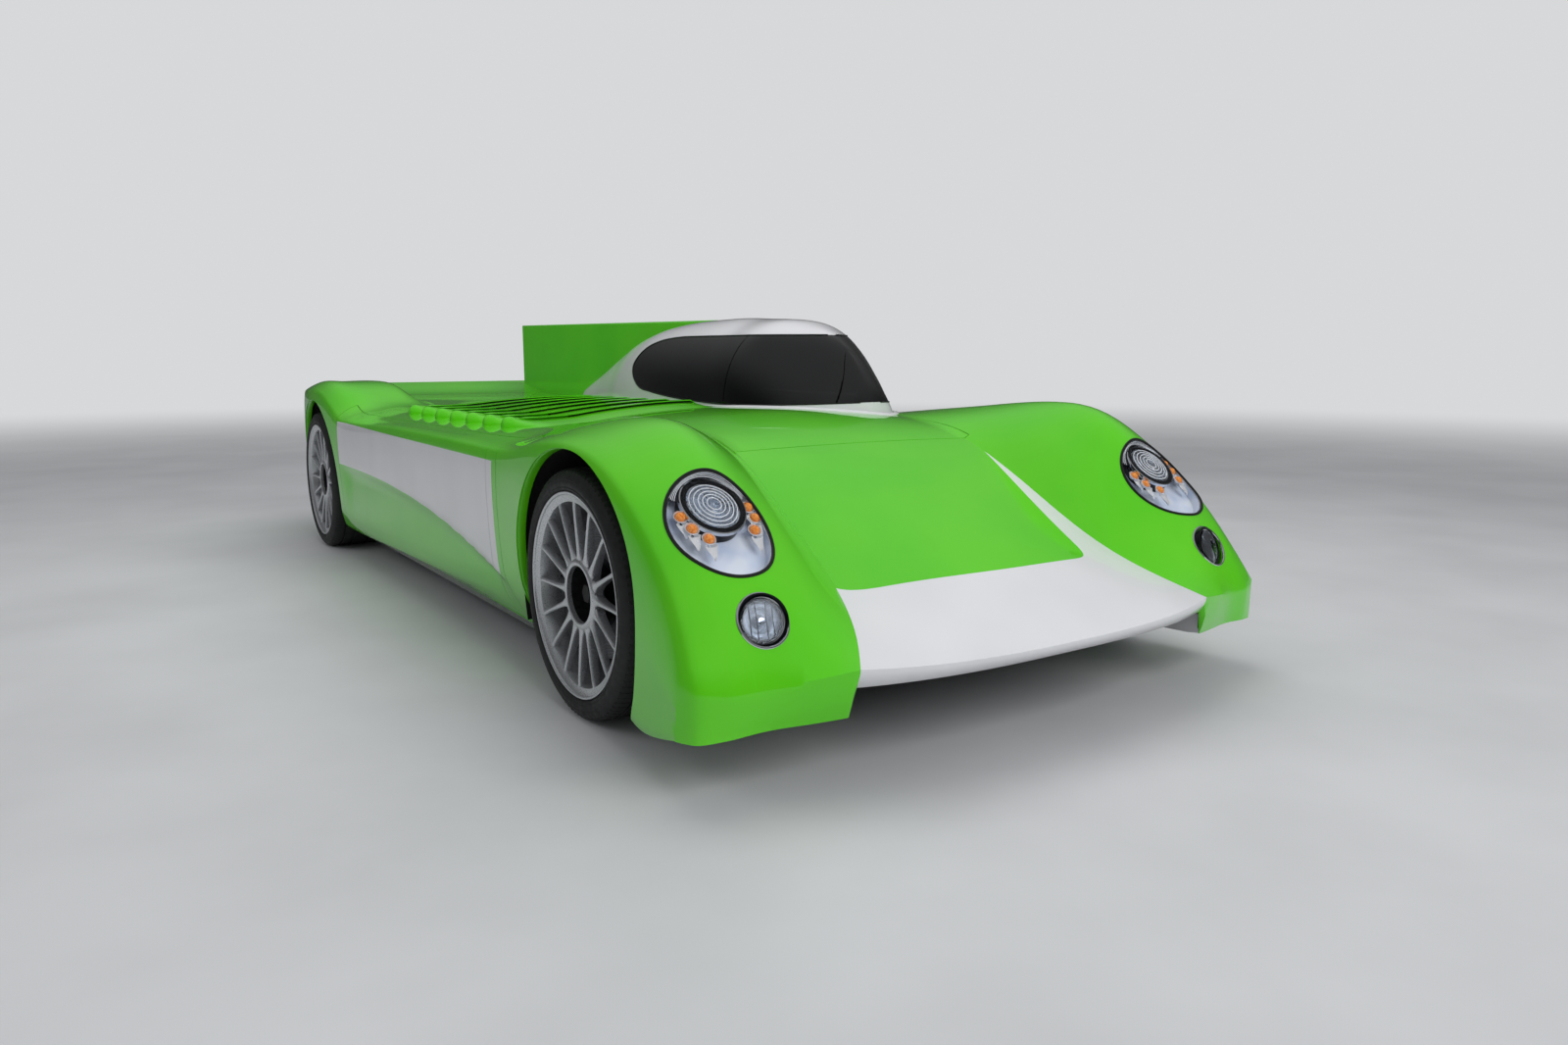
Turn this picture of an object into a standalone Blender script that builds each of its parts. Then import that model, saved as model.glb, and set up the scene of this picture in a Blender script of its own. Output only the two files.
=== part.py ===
"""Electric sports car prototype with a cockpit bubble, a fin and a louvred deck.

Metres, +Z up. The origin is on the ground under the middle of the body. The car faces -Y.
"""
import math

import bmesh
import bpy
from mathutils import Matrix, Vector

# Driving sizes of the body
body_length = 4.65
body_half_width = 0.965
crest_height = 0.78
body_wall = 0.014
seam_gap = 0.0006
seat_gap = 0.0003
overrun = 0.1
merge_distance = 0.00005

# Wheels and running gear, as shares of the body's sizes or of tyre_radius
front_axle_share = -0.318495
rear_axle_share = 0.33656
front_axle_y = front_axle_share * body_length
rear_axle_y = rear_axle_share * body_length
tyre_share = 0.41795
tyre_radius = tyre_share * crest_height
tyre_width_share = 0.2715
tyre_width = tyre_width_share * body_half_width
wheel_face_share = 0.971
wheel_face_x = wheel_face_share * body_half_width
lip_share = 0.8181
lip_radius = lip_share * tyre_radius
bead_share = 0.7515
bead_radius = bead_share * tyre_radius
spoke_count = 16
front_arch_share = 1.2117
rear_arch_share = 1.184
front_arch_radius = front_arch_share * tyre_radius
rear_arch_radius = rear_arch_share * tyre_radius
front_arch_ahead = 0.022
arch_drop = 0.016
arch_inner_share = 0.58
kingpin_share = 0.81865
kingpin_x = kingpin_share * body_half_width
arch_segments = 36
round_segments = 30
hub_segments = 20
pin_segments = 12
bar_segments = 6

# Cockpit bubble and fin
bubble_x_share = 0.39378
bubble_x = bubble_x_share * body_half_width
bubble_half_share = 0.34197
bubble_half_width = bubble_half_share * body_half_width
bubble_base_share = 0.89744
bubble_base = bubble_base_share * crest_height
canopy_rise = 0.374
roof_height = bubble_base + canopy_rise
bubble_wall = 0.012
glass_low_share = 0.1765
glass_high_share = 0.8021
glass_bottom = bubble_base + glass_low_share * canopy_rise
glass_top = bubble_base + glass_high_share * canopy_rise
fin_rise = 0.02
fin_top = roof_height + fin_rise
fin_thickness = 0.024

# Floor and masses
floor_share = 0.13462
floor_height = floor_share * crest_height
floor_thickness = 0.02
flange_share = (floor_height + floor_thickness + seat_gap) / crest_height


def clear_scene():
    for old in list(bpy.data.objects):
        bpy.data.objects.remove(old, do_unlink=True)


def finish(name, colour, roughness, metallic=0.0, alpha=1.0):
    """One Principled material in plain linear colour."""
    material = bpy.data.materials.new(name)
    material.use_nodes = True
    shader = material.node_tree.nodes["Principled BSDF"]
    shader.inputs["Base Color"].default_value = (*colour, 1.0)
    shader.inputs["Roughness"].default_value = roughness
    shader.inputs["Metallic"].default_value = metallic
    shader.inputs["Alpha"].default_value = alpha
    return material


def place(name, mesh, material, location=(0.0, 0.0, 0.0)):
    """Put one finished mesh in the scene under its node name."""
    mesh.materials.clear()
    mesh.materials.append(material)
    thing = bpy.data.objects.new(name, mesh)
    thing.location = location
    bpy.context.collection.objects.link(thing)
    return thing


def mesh_of(vertices, faces):
    """A mesh with outward faces from vertex and face lists."""
    mesh = bpy.data.meshes.new("piece")
    mesh.from_pydata([tuple(v) for v in vertices], [], faces)
    work = bmesh.new()
    work.from_mesh(mesh)
    bmesh.ops.recalc_face_normals(work, faces=work.faces)
    work.to_mesh(mesh)
    work.free()
    return mesh


def block(low, high):
    """A box between two corners."""
    work = bmesh.new()
    bmesh.ops.create_cube(work, size=1.0)
    low, high = Vector(low), Vector(high)
    for v in work.verts:
        v.co = Vector((low[i] + (v.co[i] + 0.5) * (high[i] - low[i]) for i in range(3)))
    mesh = bpy.data.meshes.new("block")
    work.to_mesh(mesh)
    work.free()
    return mesh


def rod(start, end, radius, segments=8, end_radius=None):
    """A round bar or cone between two points."""
    start, end = Vector(start), Vector(end)
    far_radius = radius if end_radius is None else end_radius
    work = bmesh.new()
    bmesh.ops.create_cone(work, cap_ends=True, segments=segments, radius1=radius,
                          radius2=far_radius, depth=(end - start).length)
    turn = Vector((0, 0, 1)).rotation_difference(end - start).to_matrix().to_4x4()
    bmesh.ops.transform(work, matrix=Matrix.Translation((start + end) / 2) @ turn, verts=work.verts)
    mesh = bpy.data.meshes.new("rod")
    work.to_mesh(mesh)
    work.free()
    return mesh


def prism(outline, axis, low, high):
    """An outline of two coordinates pushed along the third axis (0 x, 1 y, 2 z)."""
    def point(pair, level):
        coordinates = list(pair)
        coordinates.insert(axis, level)
        return coordinates
    count = len(outline)
    vertices = [point(p, low) for p in outline] + [point(p, high) for p in outline]
    faces = [list(range(count)), list(range(count, 2 * count))]
    for i in range(count):
        following = (i + 1) % count
        faces.append([i, following, following + count, i + count])
    return mesh_of(vertices, faces)


def turned(profile, segments):
    """A closed ring about the X axis from (x, radius) pairs; its flats lie at the radius."""
    vertices, faces = [], []
    count = len(profile)
    corner = 1 / math.cos(math.pi / segments)
    for step in range(segments):
        angle = 2 * math.pi * step / segments
        y, z = corner * math.cos(angle), corner * math.sin(angle)
        vertices += [(x, r * y, r * z) for x, r in profile]
    for step in range(segments):
        after = (step + 1) % segments
        for i in range(count):
            j = (i + 1) % count
            faces.append([step * count + i, step * count + j, after * count + j, after * count + i])
    return mesh_of(vertices, faces)


def combine(base, others, operation="UNION"):
    """Apply one exact Boolean per mesh and return the result."""
    body = bpy.data.objects.new("work", base)
    bpy.context.collection.objects.link(body)
    tools = []
    for other in others:
        tool = bpy.data.objects.new("tool", other)
        tool.hide_render = True
        tool.display_type = "WIRE"
        bpy.context.collection.objects.link(tool)
        tools.append(tool)
        modifier = body.modifiers.new("combine", "BOOLEAN")
        modifier.operation = operation
        modifier.solver = "EXACT"
        modifier.object = tool
    bpy.context.view_layer.update()
    graph = bpy.context.evaluated_depsgraph_get()
    result = bpy.data.meshes.new_from_object(body.evaluated_get(graph))
    for thing in [body] + tools:
        bpy.data.objects.remove(thing, do_unlink=True)
    work = bmesh.new()
    work.from_mesh(result)
    bmesh.ops.remove_doubles(work, verts=work.verts, dist=merge_distance)
    bmesh.ops.dissolve_degenerate(work, edges=work.edges, dist=merge_distance)
    work.to_mesh(result)
    work.free()
    return result


def moved(mesh, matrix):
    """A copy of a mesh under a transform, with its faces kept outward."""
    copy = mesh.copy()
    copy.transform(matrix)
    if matrix.determinant() < 0:
        copy.flip_normals()
    return copy


def smooth(mesh, angle_deg=35):
    mesh.shade_smooth()
    mesh.set_sharp_from_angle(angle=math.radians(angle_deg))
    return mesh


def inset_outline(points, distance):
    """An outline moved inward by a distance; it runs anticlockwise."""
    area = sum(a[0] * b[1] - b[0] * a[1] for a, b in zip(points, points[1:] + points[:1]))
    ordered = points if area > 0 else points[::-1]
    result = []
    for i, here in enumerate(ordered):
        before, after = Vector(ordered[i - 1]), Vector(ordered[(i + 1) % len(ordered)])
        corner = Vector(here)
        into = (corner - before).normalized()
        out = (after - corner).normalized()
        normal_in, normal_out = Vector((-into.y, into.x)), Vector((-out.y, out.x))
        bisector = (normal_in + normal_out).normalized()
        result.append(tuple(corner + bisector * distance / max(bisector.dot(normal_in), 0.3)))
    return result


def follow(rows, at):
    """Smooth values along rows of (place, value, ...), level past both ends."""
    places = [row[0] for row in rows]
    if at <= places[0]:
        return list(rows[0][1:])
    if at >= places[-1]:
        return list(rows[-1][1:])
    i = max(k for k in range(len(rows) - 1) if places[k] <= at)
    width = places[i + 1] - places[i]
    t = (at - places[i]) / width
    values = []
    for column in range(1, len(rows[0])):
        def slope(k):
            if k == 0 or k == len(rows) - 1:
                near = (k + 1, k) if k == 0 else (k, k - 1)
                return (rows[near[0]][column] - rows[near[1]][column]) / (places[near[0]] - places[near[1]])
            left = (rows[k][column] - rows[k - 1][column]) / (places[k] - places[k - 1])
            right = (rows[k + 1][column] - rows[k][column]) / (places[k + 1] - places[k])
            if left * right <= 0:
                return 0.0
            return 2 * left * right / (left + right)
        a, b = rows[i][column], rows[i + 1][column]
        sa, sb = slope(i) * width, slope(i + 1) * width
        values.append(a + t * sa + t * t * (3 * (b - a) - 2 * sa - sb) + t ** 3 * (2 * (a - b) + sa + sb))
    return values


# Guide lines of the body from nose to tail, one list for each line, from the centre to the sill.
# Each row is a share of body_length, of body_half_width and of crest_height.
guide_shares = [
    # Centre line
    [(-0.500, 0, 0.327), (-0.493, 0, 0.355), (-0.473, 0, 0.417), (-0.430, 0, 0.545), (-0.387, 0, 0.668),
     (-0.344, 0, 0.790), (-0.315, 0, 0.866), (-0.258, 0, 0.938), (-0.215, 0, 0.958), (-0.108, 0, 0.948),
     (0.172, 0, 0.917), (0.258, 0, 0.900), (0.409, 0, 0.905), (0.452, 0, 0.930), (0.484, 0, 0.972),
     (0.500, 0, 0.985)],
    # Crease between the hood and the fender
    [(-0.4845, 0.636, 0.342), (-0.473, 0.609, 0.375), (-0.452, 0.574, 0.422), (-0.430, 0.541, 0.486),
     (-0.409, 0.518, 0.555), (-0.387, 0.507, 0.627), (-0.366, 0.489, 0.704), (-0.344, 0.469, 0.774),
     (-0.323, 0.453, 0.841), (-0.312, 0.444, 0.868), (-0.280, 0.45, 0.905), (-0.240, 0.48, 0.920),
     (-0.200, 0.50, 0.918), (-0.108, 0.52, 0.897), (0.215, 0.52, 0.888), (0.337, 0.50, 0.900),
     (0.409, 0.50, 0.908), (0.452, 0.50, 0.933), (0.484, 0.50, 0.974), (0.500, 0.50, 0.985)],
    # Middle of the fender's inner slope
    [(-0.4800, 0.722, 0.331), (-0.473, 0.705, 0.395), (-0.452, 0.680, 0.510), (-0.430, 0.655, 0.620),
     (-0.409, 0.635, 0.725), (-0.387, 0.615, 0.810), (-0.366, 0.600, 0.873), (-0.344, 0.590, 0.917),
     (-0.323, 0.590, 0.938), (-0.301, 0.595, 0.944), (-0.258, 0.600, 0.940), (-0.215, 0.620, 0.925),
     (-0.108, 0.650, 0.890), (0.215, 0.650, 0.885), (0.258, 0.660, 0.900), (0.301, 0.680, 0.935),
     (0.337, 0.680, 0.945), (0.409, 0.660, 0.935), (0.452, 0.640, 0.945), (0.484, 0.620, 0.976),
     (0.500, 0.620, 0.985)],
    # Fender crest
    [(-0.4742, 0.829, 0.321), (-0.4700, 0.815, 0.400), (-0.4645, 0.808, 0.490), (-0.445, 0.803, 0.613),
     (-0.4245, 0.798, 0.735), (-0.398, 0.785, 0.885), (-0.376, 0.775, 0.968), (-0.355, 0.770, 1.000),
     (-0.323, 0.770, 0.996), (-0.267, 0.770, 0.962), (-0.215, 0.775, 0.930), (-0.172, 0.785, 0.903),
     (-0.108, 0.790, 0.884), (0.215, 0.800, 0.876), (0.240, 0.810, 0.905), (0.270, 0.820, 0.980),
     (0.303, 0.830, 1.025), (0.344, 0.830, 1.025), (0.387, 0.820, 1.005), (0.430, 0.800, 0.990),
     (0.473, 0.760, 0.985), (0.500, 0.740, 0.985)],
    # Shoulder
    [(-0.4716, 0.933, 0.323), (-0.4645, 0.928, 0.425), (-0.455, 0.922, 0.515), (-0.445, 0.918, 0.590),
     (-0.4245, 0.912, 0.705), (-0.413, 0.912, 0.758), (-0.387, 0.915, 0.865), (-0.366, 0.917, 0.928),
     (-0.344, 0.917, 0.951), (-0.312, 0.917, 0.950), (-0.267, 0.912, 0.925), (-0.228, 0.902, 0.885),
     (-0.204, 0.896, 0.869), (-0.108, 0.891, 0.866), (0.172, 0.891, 0.853), (0.226, 0.891, 0.848),
     (0.247, 0.902, 0.895), (0.269, 0.912, 0.965), (0.303, 0.922, 1.025), (0.344, 0.914, 1.025),
     (0.387, 0.902, 1.005), (0.430, 0.881, 0.987), (0.473, 0.829, 0.980), (0.500, 0.798, 0.980)],
    # Top edge of the side
    [(-0.4656, 0.997, 0.336), (-0.4600, 0.990, 0.395), (-0.4500, 0.980, 0.480), (-0.4400, 0.974, 0.552),
     (-0.4300, 0.971, 0.612), (-0.412, 0.972, 0.702), (-0.394, 0.976, 0.790), (-0.370, 0.981, 0.868),
     (-0.344, 0.984, 0.910), (-0.318, 0.986, 0.920), (-0.290, 0.984, 0.912), (-0.258, 0.976, 0.880),
     (-0.228, 0.966, 0.848), (-0.204, 0.959, 0.842), (-0.108, 0.959, 0.848), (0.043, 0.959, 0.842),
     (0.194, 0.959, 0.812), (0.240, 0.959, 0.812), (0.258, 0.964, 0.870), (0.280, 0.969, 0.930),
     (0.303, 0.974, 0.968), (0.337, 0.974, 0.980), (0.376, 0.964, 0.968), (0.420, 0.938, 0.955),
     (0.473, 0.860, 0.955), (0.500, 0.819, 0.955)],
    # Widest line of the side
    [(-0.4560, 1.0197, 0.301), (-0.440, 1.015, 0.320), (-0.420, 1.004, 0.380), (-0.405, 0.998, 0.450),
     (-0.366, 0.994, 0.540), (-0.318, 0.998, 0.570), (-0.258, 0.988, 0.550), (-0.215, 0.969, 0.540),
     (-0.108, 0.964, 0.525), (0.108, 0.964, 0.513), (0.237, 0.966, 0.513), (0.280, 0.976, 0.550),
     (0.337, 0.982, 0.565), (0.387, 0.972, 0.565), (0.430, 0.938, 0.565), (0.473, 0.860, 0.580),
     (0.500, 0.829, 0.590)],
    # Start of the tuck under
    [(-0.4548, 1.0205, 0.244), (-0.430, 1.010, 0.230), (-0.405, 0.997, 0.225), (-0.366, 0.985, 0.240),
     (-0.318, 0.990, 0.300), (-0.230, 0.958, 0.372), (-0.108, 0.950, 0.320), (0.065, 0.950, 0.280),
     (0.258, 0.950, 0.256), (0.337, 0.966, 0.270), (0.430, 0.912, 0.346), (0.500, 0.808, 0.423)],
    # Bottom edge
    [(-0.4538, 1.0180, 0.183), (-0.443, 1.015, 0.165), (-0.425, 1.003, 0.138), (-0.405, 0.990, 0.118),
     (-0.366, 0.965, 0.150), (-0.318, 0.965, 0.200), (-0.230, 0.935, 0.292), (-0.105, 0.920, 0.237),
     (0.065, 0.920, 0.199), (0.258, 0.920, 0.172), (0.337, 0.930, 0.180), (0.430, 0.880, 0.256),
     (0.500, 0.780, 0.346)],
    # Inner edge of the tuck under
    [(-0.4516, 0.990, 0.172), (-0.440, 0.985, 0.152), (-0.420, 0.965, 0.125), (-0.405, 0.950, 0.110),
     (-0.366, 0.930, 0.140), (-0.318, 0.920, 0.165), (-0.240, 0.870, flange_share),
     (-0.105, 0.865, flange_share), (0.065, 0.865, flange_share), (0.262, 0.865, flange_share),
     (0.337, 0.880, 0.180), (0.430, 0.840, 0.230), (0.500, 0.750, 0.320)],
]
crease_line = 1
# Lower edge of the front face: share of body_half_width against share of crest_height
chin_shares = [(0.0, 0.284), (0.632, 0.284), (0.645, 0.200), (0.900, 0.193), (1.0, 0.186),
               (1.03, 0.183)]
chin_setback = 0.025
chin_fade = 5
# Where between neighbouring guide lines the skin has its points
between_shares = [(0.4, 0.75, 1.0), (0.08, 0.5, 1.0), (0.5, 1.0), (0.5, 1.0), (0.5, 1.0),
                  (0.5, 1.0), (1.0,), (1.0,), (1.0,)]
inner_between_shares = [(0.6, 1.0), (1.0,), (1.0,), (1.0,), (0.5, 1.0), (1.0,), (1.0,),
                        (1.0,), (1.0,)]
fan_end_share = -0.344
outer_station_shares = (-0.5, -0.487, -0.468, -0.446, -0.424, -0.402, -0.380, -0.361, -0.342,
                        -0.320, -0.297, -0.271, -0.240, -0.204, -0.160, -0.108, 0.030, 0.172, 0.226,
                        0.243, 0.262, 0.283, 0.310, 0.344, 0.384, 0.420, 0.455, 0.482, 0.5)
inner_station_shares = (-0.482, -0.452, -0.418, -0.384, -0.344, -0.301, -0.258, -0.204, -0.108,
                        0.150, 0.237, 0.270, 0.310, 0.376, 0.430, 0.473, 0.5)


def guide_point(line, station_share):
    """Point of one guide line; ahead of the front axle the stations fan round the nose."""
    rows = guide_shares[line]
    share = station_share
    if station_share < fan_end_share:
        stretch = (fan_end_share - rows[0][0]) / (fan_end_share - guide_shares[0][0][0])
        share = fan_end_share + (station_share - fan_end_share) * stretch
    x, z = follow(rows, share)
    return Vector((x * body_half_width, share * body_length, z * crest_height))


def section(station_share, steps):
    """Half of one cross line of the skin, from the centre to the sill."""
    guides = [guide_point(line, station_share) for line in range(len(guide_shares))]
    points = [guides[0]]
    for s in steps[0]:
        middle = guides[0].lerp(guides[1], s)
        middle.y = guides[0].y + (guides[1].y - guides[0].y) * s ** 3
        middle.z = guides[0].z + (guides[1].z - guides[0].z) * s * s
        points.append(middle)
    tangents = [None] * len(guides)
    for i in range(1, len(guides)):
        if i == 1:
            tangents[i] = (guides[2] - guides[1]).normalized()
        elif i == len(guides) - 1:
            tangents[i] = (guides[i] - guides[i - 1]).normalized()
        else:
            back, ahead = guides[i] - guides[i - 1], guides[i + 1] - guides[i]
            tangents[i] = (back / back.length ** 2 + ahead / ahead.length ** 2).normalized()
    lengths = [(b - a).length for a, b in zip(guides, guides[1:])]
    for i in range(1, len(guides) - 1):
        a, b = guides[i], guides[i + 1]
        before = lengths[i - 1] if i > 1 else lengths[i]
        after = lengths[i + 1] if i + 1 < len(lengths) else lengths[i]
        ta = tangents[i] * min(lengths[i], before)
        tb = tangents[i + 1] * min(lengths[i], after)
        for s in steps[i]:
            curve = a + s * ta + s * s * (3 * (b - a) - 2 * ta - tb) + s ** 3 * (2 * (a - b) + ta + tb)
            points.append(curve)
    return points


def skin_rows(stations, steps, inset=0.0):
    """Cross lines of the skin's left half, moved inward by the inset."""
    rows = [section(share, steps) for share in stations]
    if inset == 0.0:
        chin = []
        for point in rows[0]:
            out = point.x / body_half_width
            low = min(follow(chin_shares, out)[0] * crest_height, point.z - seat_gap)
            back = min(point.z - low, chin_setback) * max(1 - out ** chin_fade, 0.0)
            chin.append(Vector((point.x, point.y + back, low)))
        return [chin] + rows
    inner = []
    for r, row in enumerate(rows):
        line = []
        for c, point in enumerate(row):
            along = rows[min(r + 1, len(rows) - 1)][c] - rows[max(r - 1, 0)][c]
            outward = row[c - 1] if c else Vector((-row[1].x, row[1].y, row[1].z))
            across = row[min(c + 1, len(row) - 1)] - outward
            line.append(point + along.cross(across).normalized() * inset)
        inner.append(line)
    for row in inner:
        row[0].x = 0.0
    return inner


def loop_mesh(rows):
    """A closed body from rows of points that each run round one cross section."""
    count = len(rows[0])
    vertices = [point for row in rows for point in row]
    faces = []
    for r in range(len(rows) - 1):
        for c in range(count):
            d = (c + 1) % count
            faces.append([r * count + c, r * count + d, (r + 1) * count + d, (r + 1) * count + c])
    faces.append(list(range(count)))
    faces.append([(len(rows) - 1) * count + c for c in range(count)])
    mesh = mesh_of(vertices, faces)
    work = bmesh.new()
    work.from_mesh(mesh)
    bmesh.ops.triangulate(work, faces=work.faces)
    bmesh.ops.remove_doubles(work, verts=work.verts, dist=merge_distance)
    bmesh.ops.dissolve_degenerate(work, edges=work.edges, dist=merge_distance)
    bmesh.ops.recalc_face_normals(work, faces=work.faces)
    work.to_mesh(mesh)
    work.free()
    return mesh


def both_sides(row):
    """A whole cross line, from the right sill over the top to the left sill."""
    return [Vector((-p.x, p.y, p.z)) for p in row[:0:-1]] + row


def body_blank():
    """The body as one solid up to its outer skin."""
    return loop_mesh([both_sides(row) for row in skin_rows(outer_station_shares, between_shares)])


def body_core(inset):
    """The space under the skin, open below and behind."""
    rows = skin_rows(inner_station_shares, inner_between_shares, inset)
    whole = []
    for row in rows:
        sill = row[-1]
        whole.append(both_sides(row + [Vector((sill.x - body_wall, sill.y, sill.z)),
                                       Vector((sill.x - body_wall, sill.y, -overrun))]))
    front = [Vector((p.x, p.y, -overrun)) for p in whole[0]]
    back = [Vector((p.x, p.y + overrun, p.z)) for p in whole[-1]]
    return loop_mesh([front] + whole + [back])


def deck_height(x, y):
    """Height of the skin above a plan position."""
    share = y / body_length
    line = [guide_point(i, share) for i in range(6)]
    if abs(x) <= line[1].x:
        return line[0].z + (line[1].z - line[0].z) * (x / line[1].x) ** 2
    return follow([(p.x, p.z) for p in line[1:]], abs(x))[0]


# Seams of the body in plan, as shares of body_half_width and body_length
hood_back_share = -0.315
cowl_back_share = -0.1075
deck_back_share = 0.185
side_front_share = -0.205
side_back_share = 0.241
shelf_share = 0.872
seam_share = 0.47
bubble_seam_share = 0.394
rear_seam_share = 0.52
beyond_share = 1.3
crease_side_share = 0.008
top_panels = ("cowl_panel", "louvre_deck", "rear_deck")
deck_cut_share = 0.577


def plan(pairs):
    """Plan outline in metres from pairs of shares."""
    return [(x * body_half_width, y * body_length) for x, y in pairs]


def crease_run():
    """The crease from the nose to the hood's rear seam, in shares."""
    rows = [row for row in guide_shares[crease_line] if row[0] < hood_back_share]
    tip = (rows[0][1] + crease_side_share, -beyond_share / 2)
    line = [(row[1] + crease_side_share, row[0]) for row in rows]
    return [tip] + line + [(seam_share, hood_back_share)]


def panel_outlines():
    """Plan outline of each body panel, in metres."""
    crease = crease_run()
    mirrored_crease = [(-x, y) for x, y in crease]
    fender = crease + [(seam_share, cowl_back_share), (shelf_share, cowl_back_share),
                       (shelf_share, side_front_share), (beyond_share, side_front_share),
                       (beyond_share, -beyond_share / 2)]
    nose = mirrored_crease + crease[::-1]
    cowl = [(-seam_share, hood_back_share), (seam_share, hood_back_share),
            (seam_share, cowl_back_share), (-seam_share, cowl_back_share)]
    side_right = [(-shelf_share, side_front_share), (-shelf_share, side_back_share),
                  (-beyond_share, side_back_share), (-beyond_share, side_front_share)]
    side_left = [(shelf_share, side_front_share), (shelf_share, cowl_back_share),
                 (bubble_seam_share, cowl_back_share), (bubble_seam_share, side_back_share),
                 (beyond_share, side_back_share), (beyond_share, side_front_share)]
    deck = [(-shelf_share, cowl_back_share), (bubble_seam_share, cowl_back_share),
            (bubble_seam_share, deck_back_share), (-shelf_share, deck_back_share)]
    tail = beyond_share / 2
    rear_right = [(-rear_seam_share, deck_back_share), (-shelf_share, deck_back_share),
                  (-shelf_share, side_back_share), (-beyond_share, side_back_share),
                  (-beyond_share, tail), (-rear_seam_share, tail)]
    rear_left = [(rear_seam_share, side_back_share), (beyond_share, side_back_share),
                 (beyond_share, tail), (rear_seam_share, tail)]
    rear_deck = [(-rear_seam_share, deck_back_share), (bubble_seam_share, deck_back_share),
                 (bubble_seam_share, side_back_share), (rear_seam_share, side_back_share),
                 (rear_seam_share, tail), (-rear_seam_share, tail)]
    return {
        "nose_panel": plan(nose),
        "front_fender_right": plan([(-x, y) for x, y in fender]),
        "front_fender_left": plan(fender),
        "cowl_panel": plan(cowl),
        "side_panel_right": plan(side_right),
        "side_panel_left": plan(side_left),
        "louvre_deck": plan(deck),
        "rear_fender_right": plan(rear_right),
        "rear_fender_left": plan(rear_left),
        "rear_deck": plan(rear_deck),
    }


# Cockpit bubble: shares of body_length, of bubble_half_width and of its rise above bubble_base,
# and the power of the section's curve, 2 for an ellipse
bubble_shares = [(-0.230, 0.04, 0.10, 1.7), (-0.226, 0.25, 0.24, 1.7), (-0.217, 0.44, 0.40, 1.7),
                 (-0.204, 0.60, 0.57, 1.75), (-0.188, 0.73, 0.715, 1.8), (-0.165, 0.85, 0.845, 1.9),
                 (-0.130, 0.95, 0.945, 2.05), (-0.090, 1.00, 0.985, 2.15), (-0.060, 1.00, 1.000, 2.15),
                 (-0.010, 0.98, 0.990, 2.15), (0.045, 0.90, 0.949, 2.15), (0.100, 0.76, 0.848, 2.05),
                 (0.160, 0.53, 0.655, 1.9), (0.220, 0.32, 0.406, 1.8), (0.260, 0.20, 0.246, 1.7),
                 (0.285, 0.11, 0.140, 1.7)]
bubble_steps = 10
bubble_inner_steps = 6


def bubble_blank(inset, drop, steps):
    """The bubble as a solid, moved inward by the inset, with its foot let down by the drop."""
    rise = roof_height - bubble_base
    rows = []
    for share, wide, high, power in bubble_shares:
        half = wide * bubble_half_width - inset
        top = high * rise - inset
        if half < inset / 2 or top < inset / 2:
            continue
        row = []
        for step in range(steps + 1):
            angle = math.pi * step / steps
            c, s = math.cos(angle), math.sin(angle)
            x = math.copysign(abs(c) ** (2 / power), c) * half
            z = abs(s) ** (2 / power) * top
            row.append(Vector((bubble_x + x, share * body_length, bubble_base + z)))
        row += [Vector((row[-1].x, row[-1].y, bubble_base - drop)),
                Vector((row[0].x, row[0].y, bubble_base - drop))]
        rows.append(row)
    return loop_mesh(rows)


def bubble_hole(margin):
    """Plan outline of the hole in the deck under the bubble."""
    right, left = [], []
    for share, wide, high, power in bubble_shares:
        if share > hole_end_share:
            continue
        half = wide * bubble_half_width - margin
        if half > margin / 2:
            right.append((bubble_x - half, share * body_length))
            left.append((bubble_x + half, share * body_length))
    return right + left[::-1]


hole_end_share = 0.17
base_lap = 0.03

# Lamps: centre as shares of the body's sizes, size across and along the slope
headlamp_shares = (0.81347, -0.42452, 0.73205)
headlamp_across = 0.120
headlamp_along = 0.148
headlamp_depth = 0.09
headlamp_seat_share = 0.8
headlamp_proud = 0.012
headlamp_segments = 28
fog_shares = (0.81658, -0.46452, 0.49487)
fog_radius = 0.060
fog_depth = 0.07
fog_proud = 0.006
fog_segments = 20
lamp_gap = 0.0006


def lamp_spot(shares, side):
    """Centre of one lamp in metres."""
    return Vector((side * shares[0] * body_half_width, shares[1] * body_length,
                   shares[2] * crest_height))


def oval(centre, across, along, facing, depth_in, depth_out, segments):
    """An oval plug through the skin; facing points out of the body."""
    work = bmesh.new()
    bmesh.ops.create_cone(work, cap_ends=True, segments=segments, radius1=1.0, radius2=1.0, depth=1.0)
    facing = Vector(facing).normalized()
    side = facing.cross(Vector((0, 0, 1))).normalized()
    up = side.cross(facing)
    axes = Matrix((side * across, up * along, facing * (depth_in + depth_out))).transposed().to_4x4()
    centre = Vector(centre) + facing * (depth_out - depth_in) / 2
    bmesh.ops.transform(work, matrix=Matrix.Translation(centre) @ axes, verts=work.verts)
    bmesh.ops.recalc_face_normals(work, faces=work.faces)
    mesh = bpy.data.meshes.new("oval")
    work.to_mesh(mesh)
    work.free()
    return mesh


headlamp_facing = (0.05, -0.70, 0.72)
fog_facing = (0.20, -0.91, 0.35)

# Louvres of the deck; the profile is shares of louvre_length and of the hood's rise
louvre_count = 7
louvre_first_share = -0.08495
louvre_pitch_share = 0.03935
louvre_length = 0.125
louvre_rise = 0.026
louvre_sheet = 0.006
louvre_outer_share = -0.76166
louvre_round = 0.05
louvre_steps = 4
louvre_end_share = 0.12
louvre_spacing_power = 1.6
louvre_profile_shares = [(-0.5, 0.0), (0.0, 0.62), (0.38, 1.0), (0.5, 0.94)]


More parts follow.
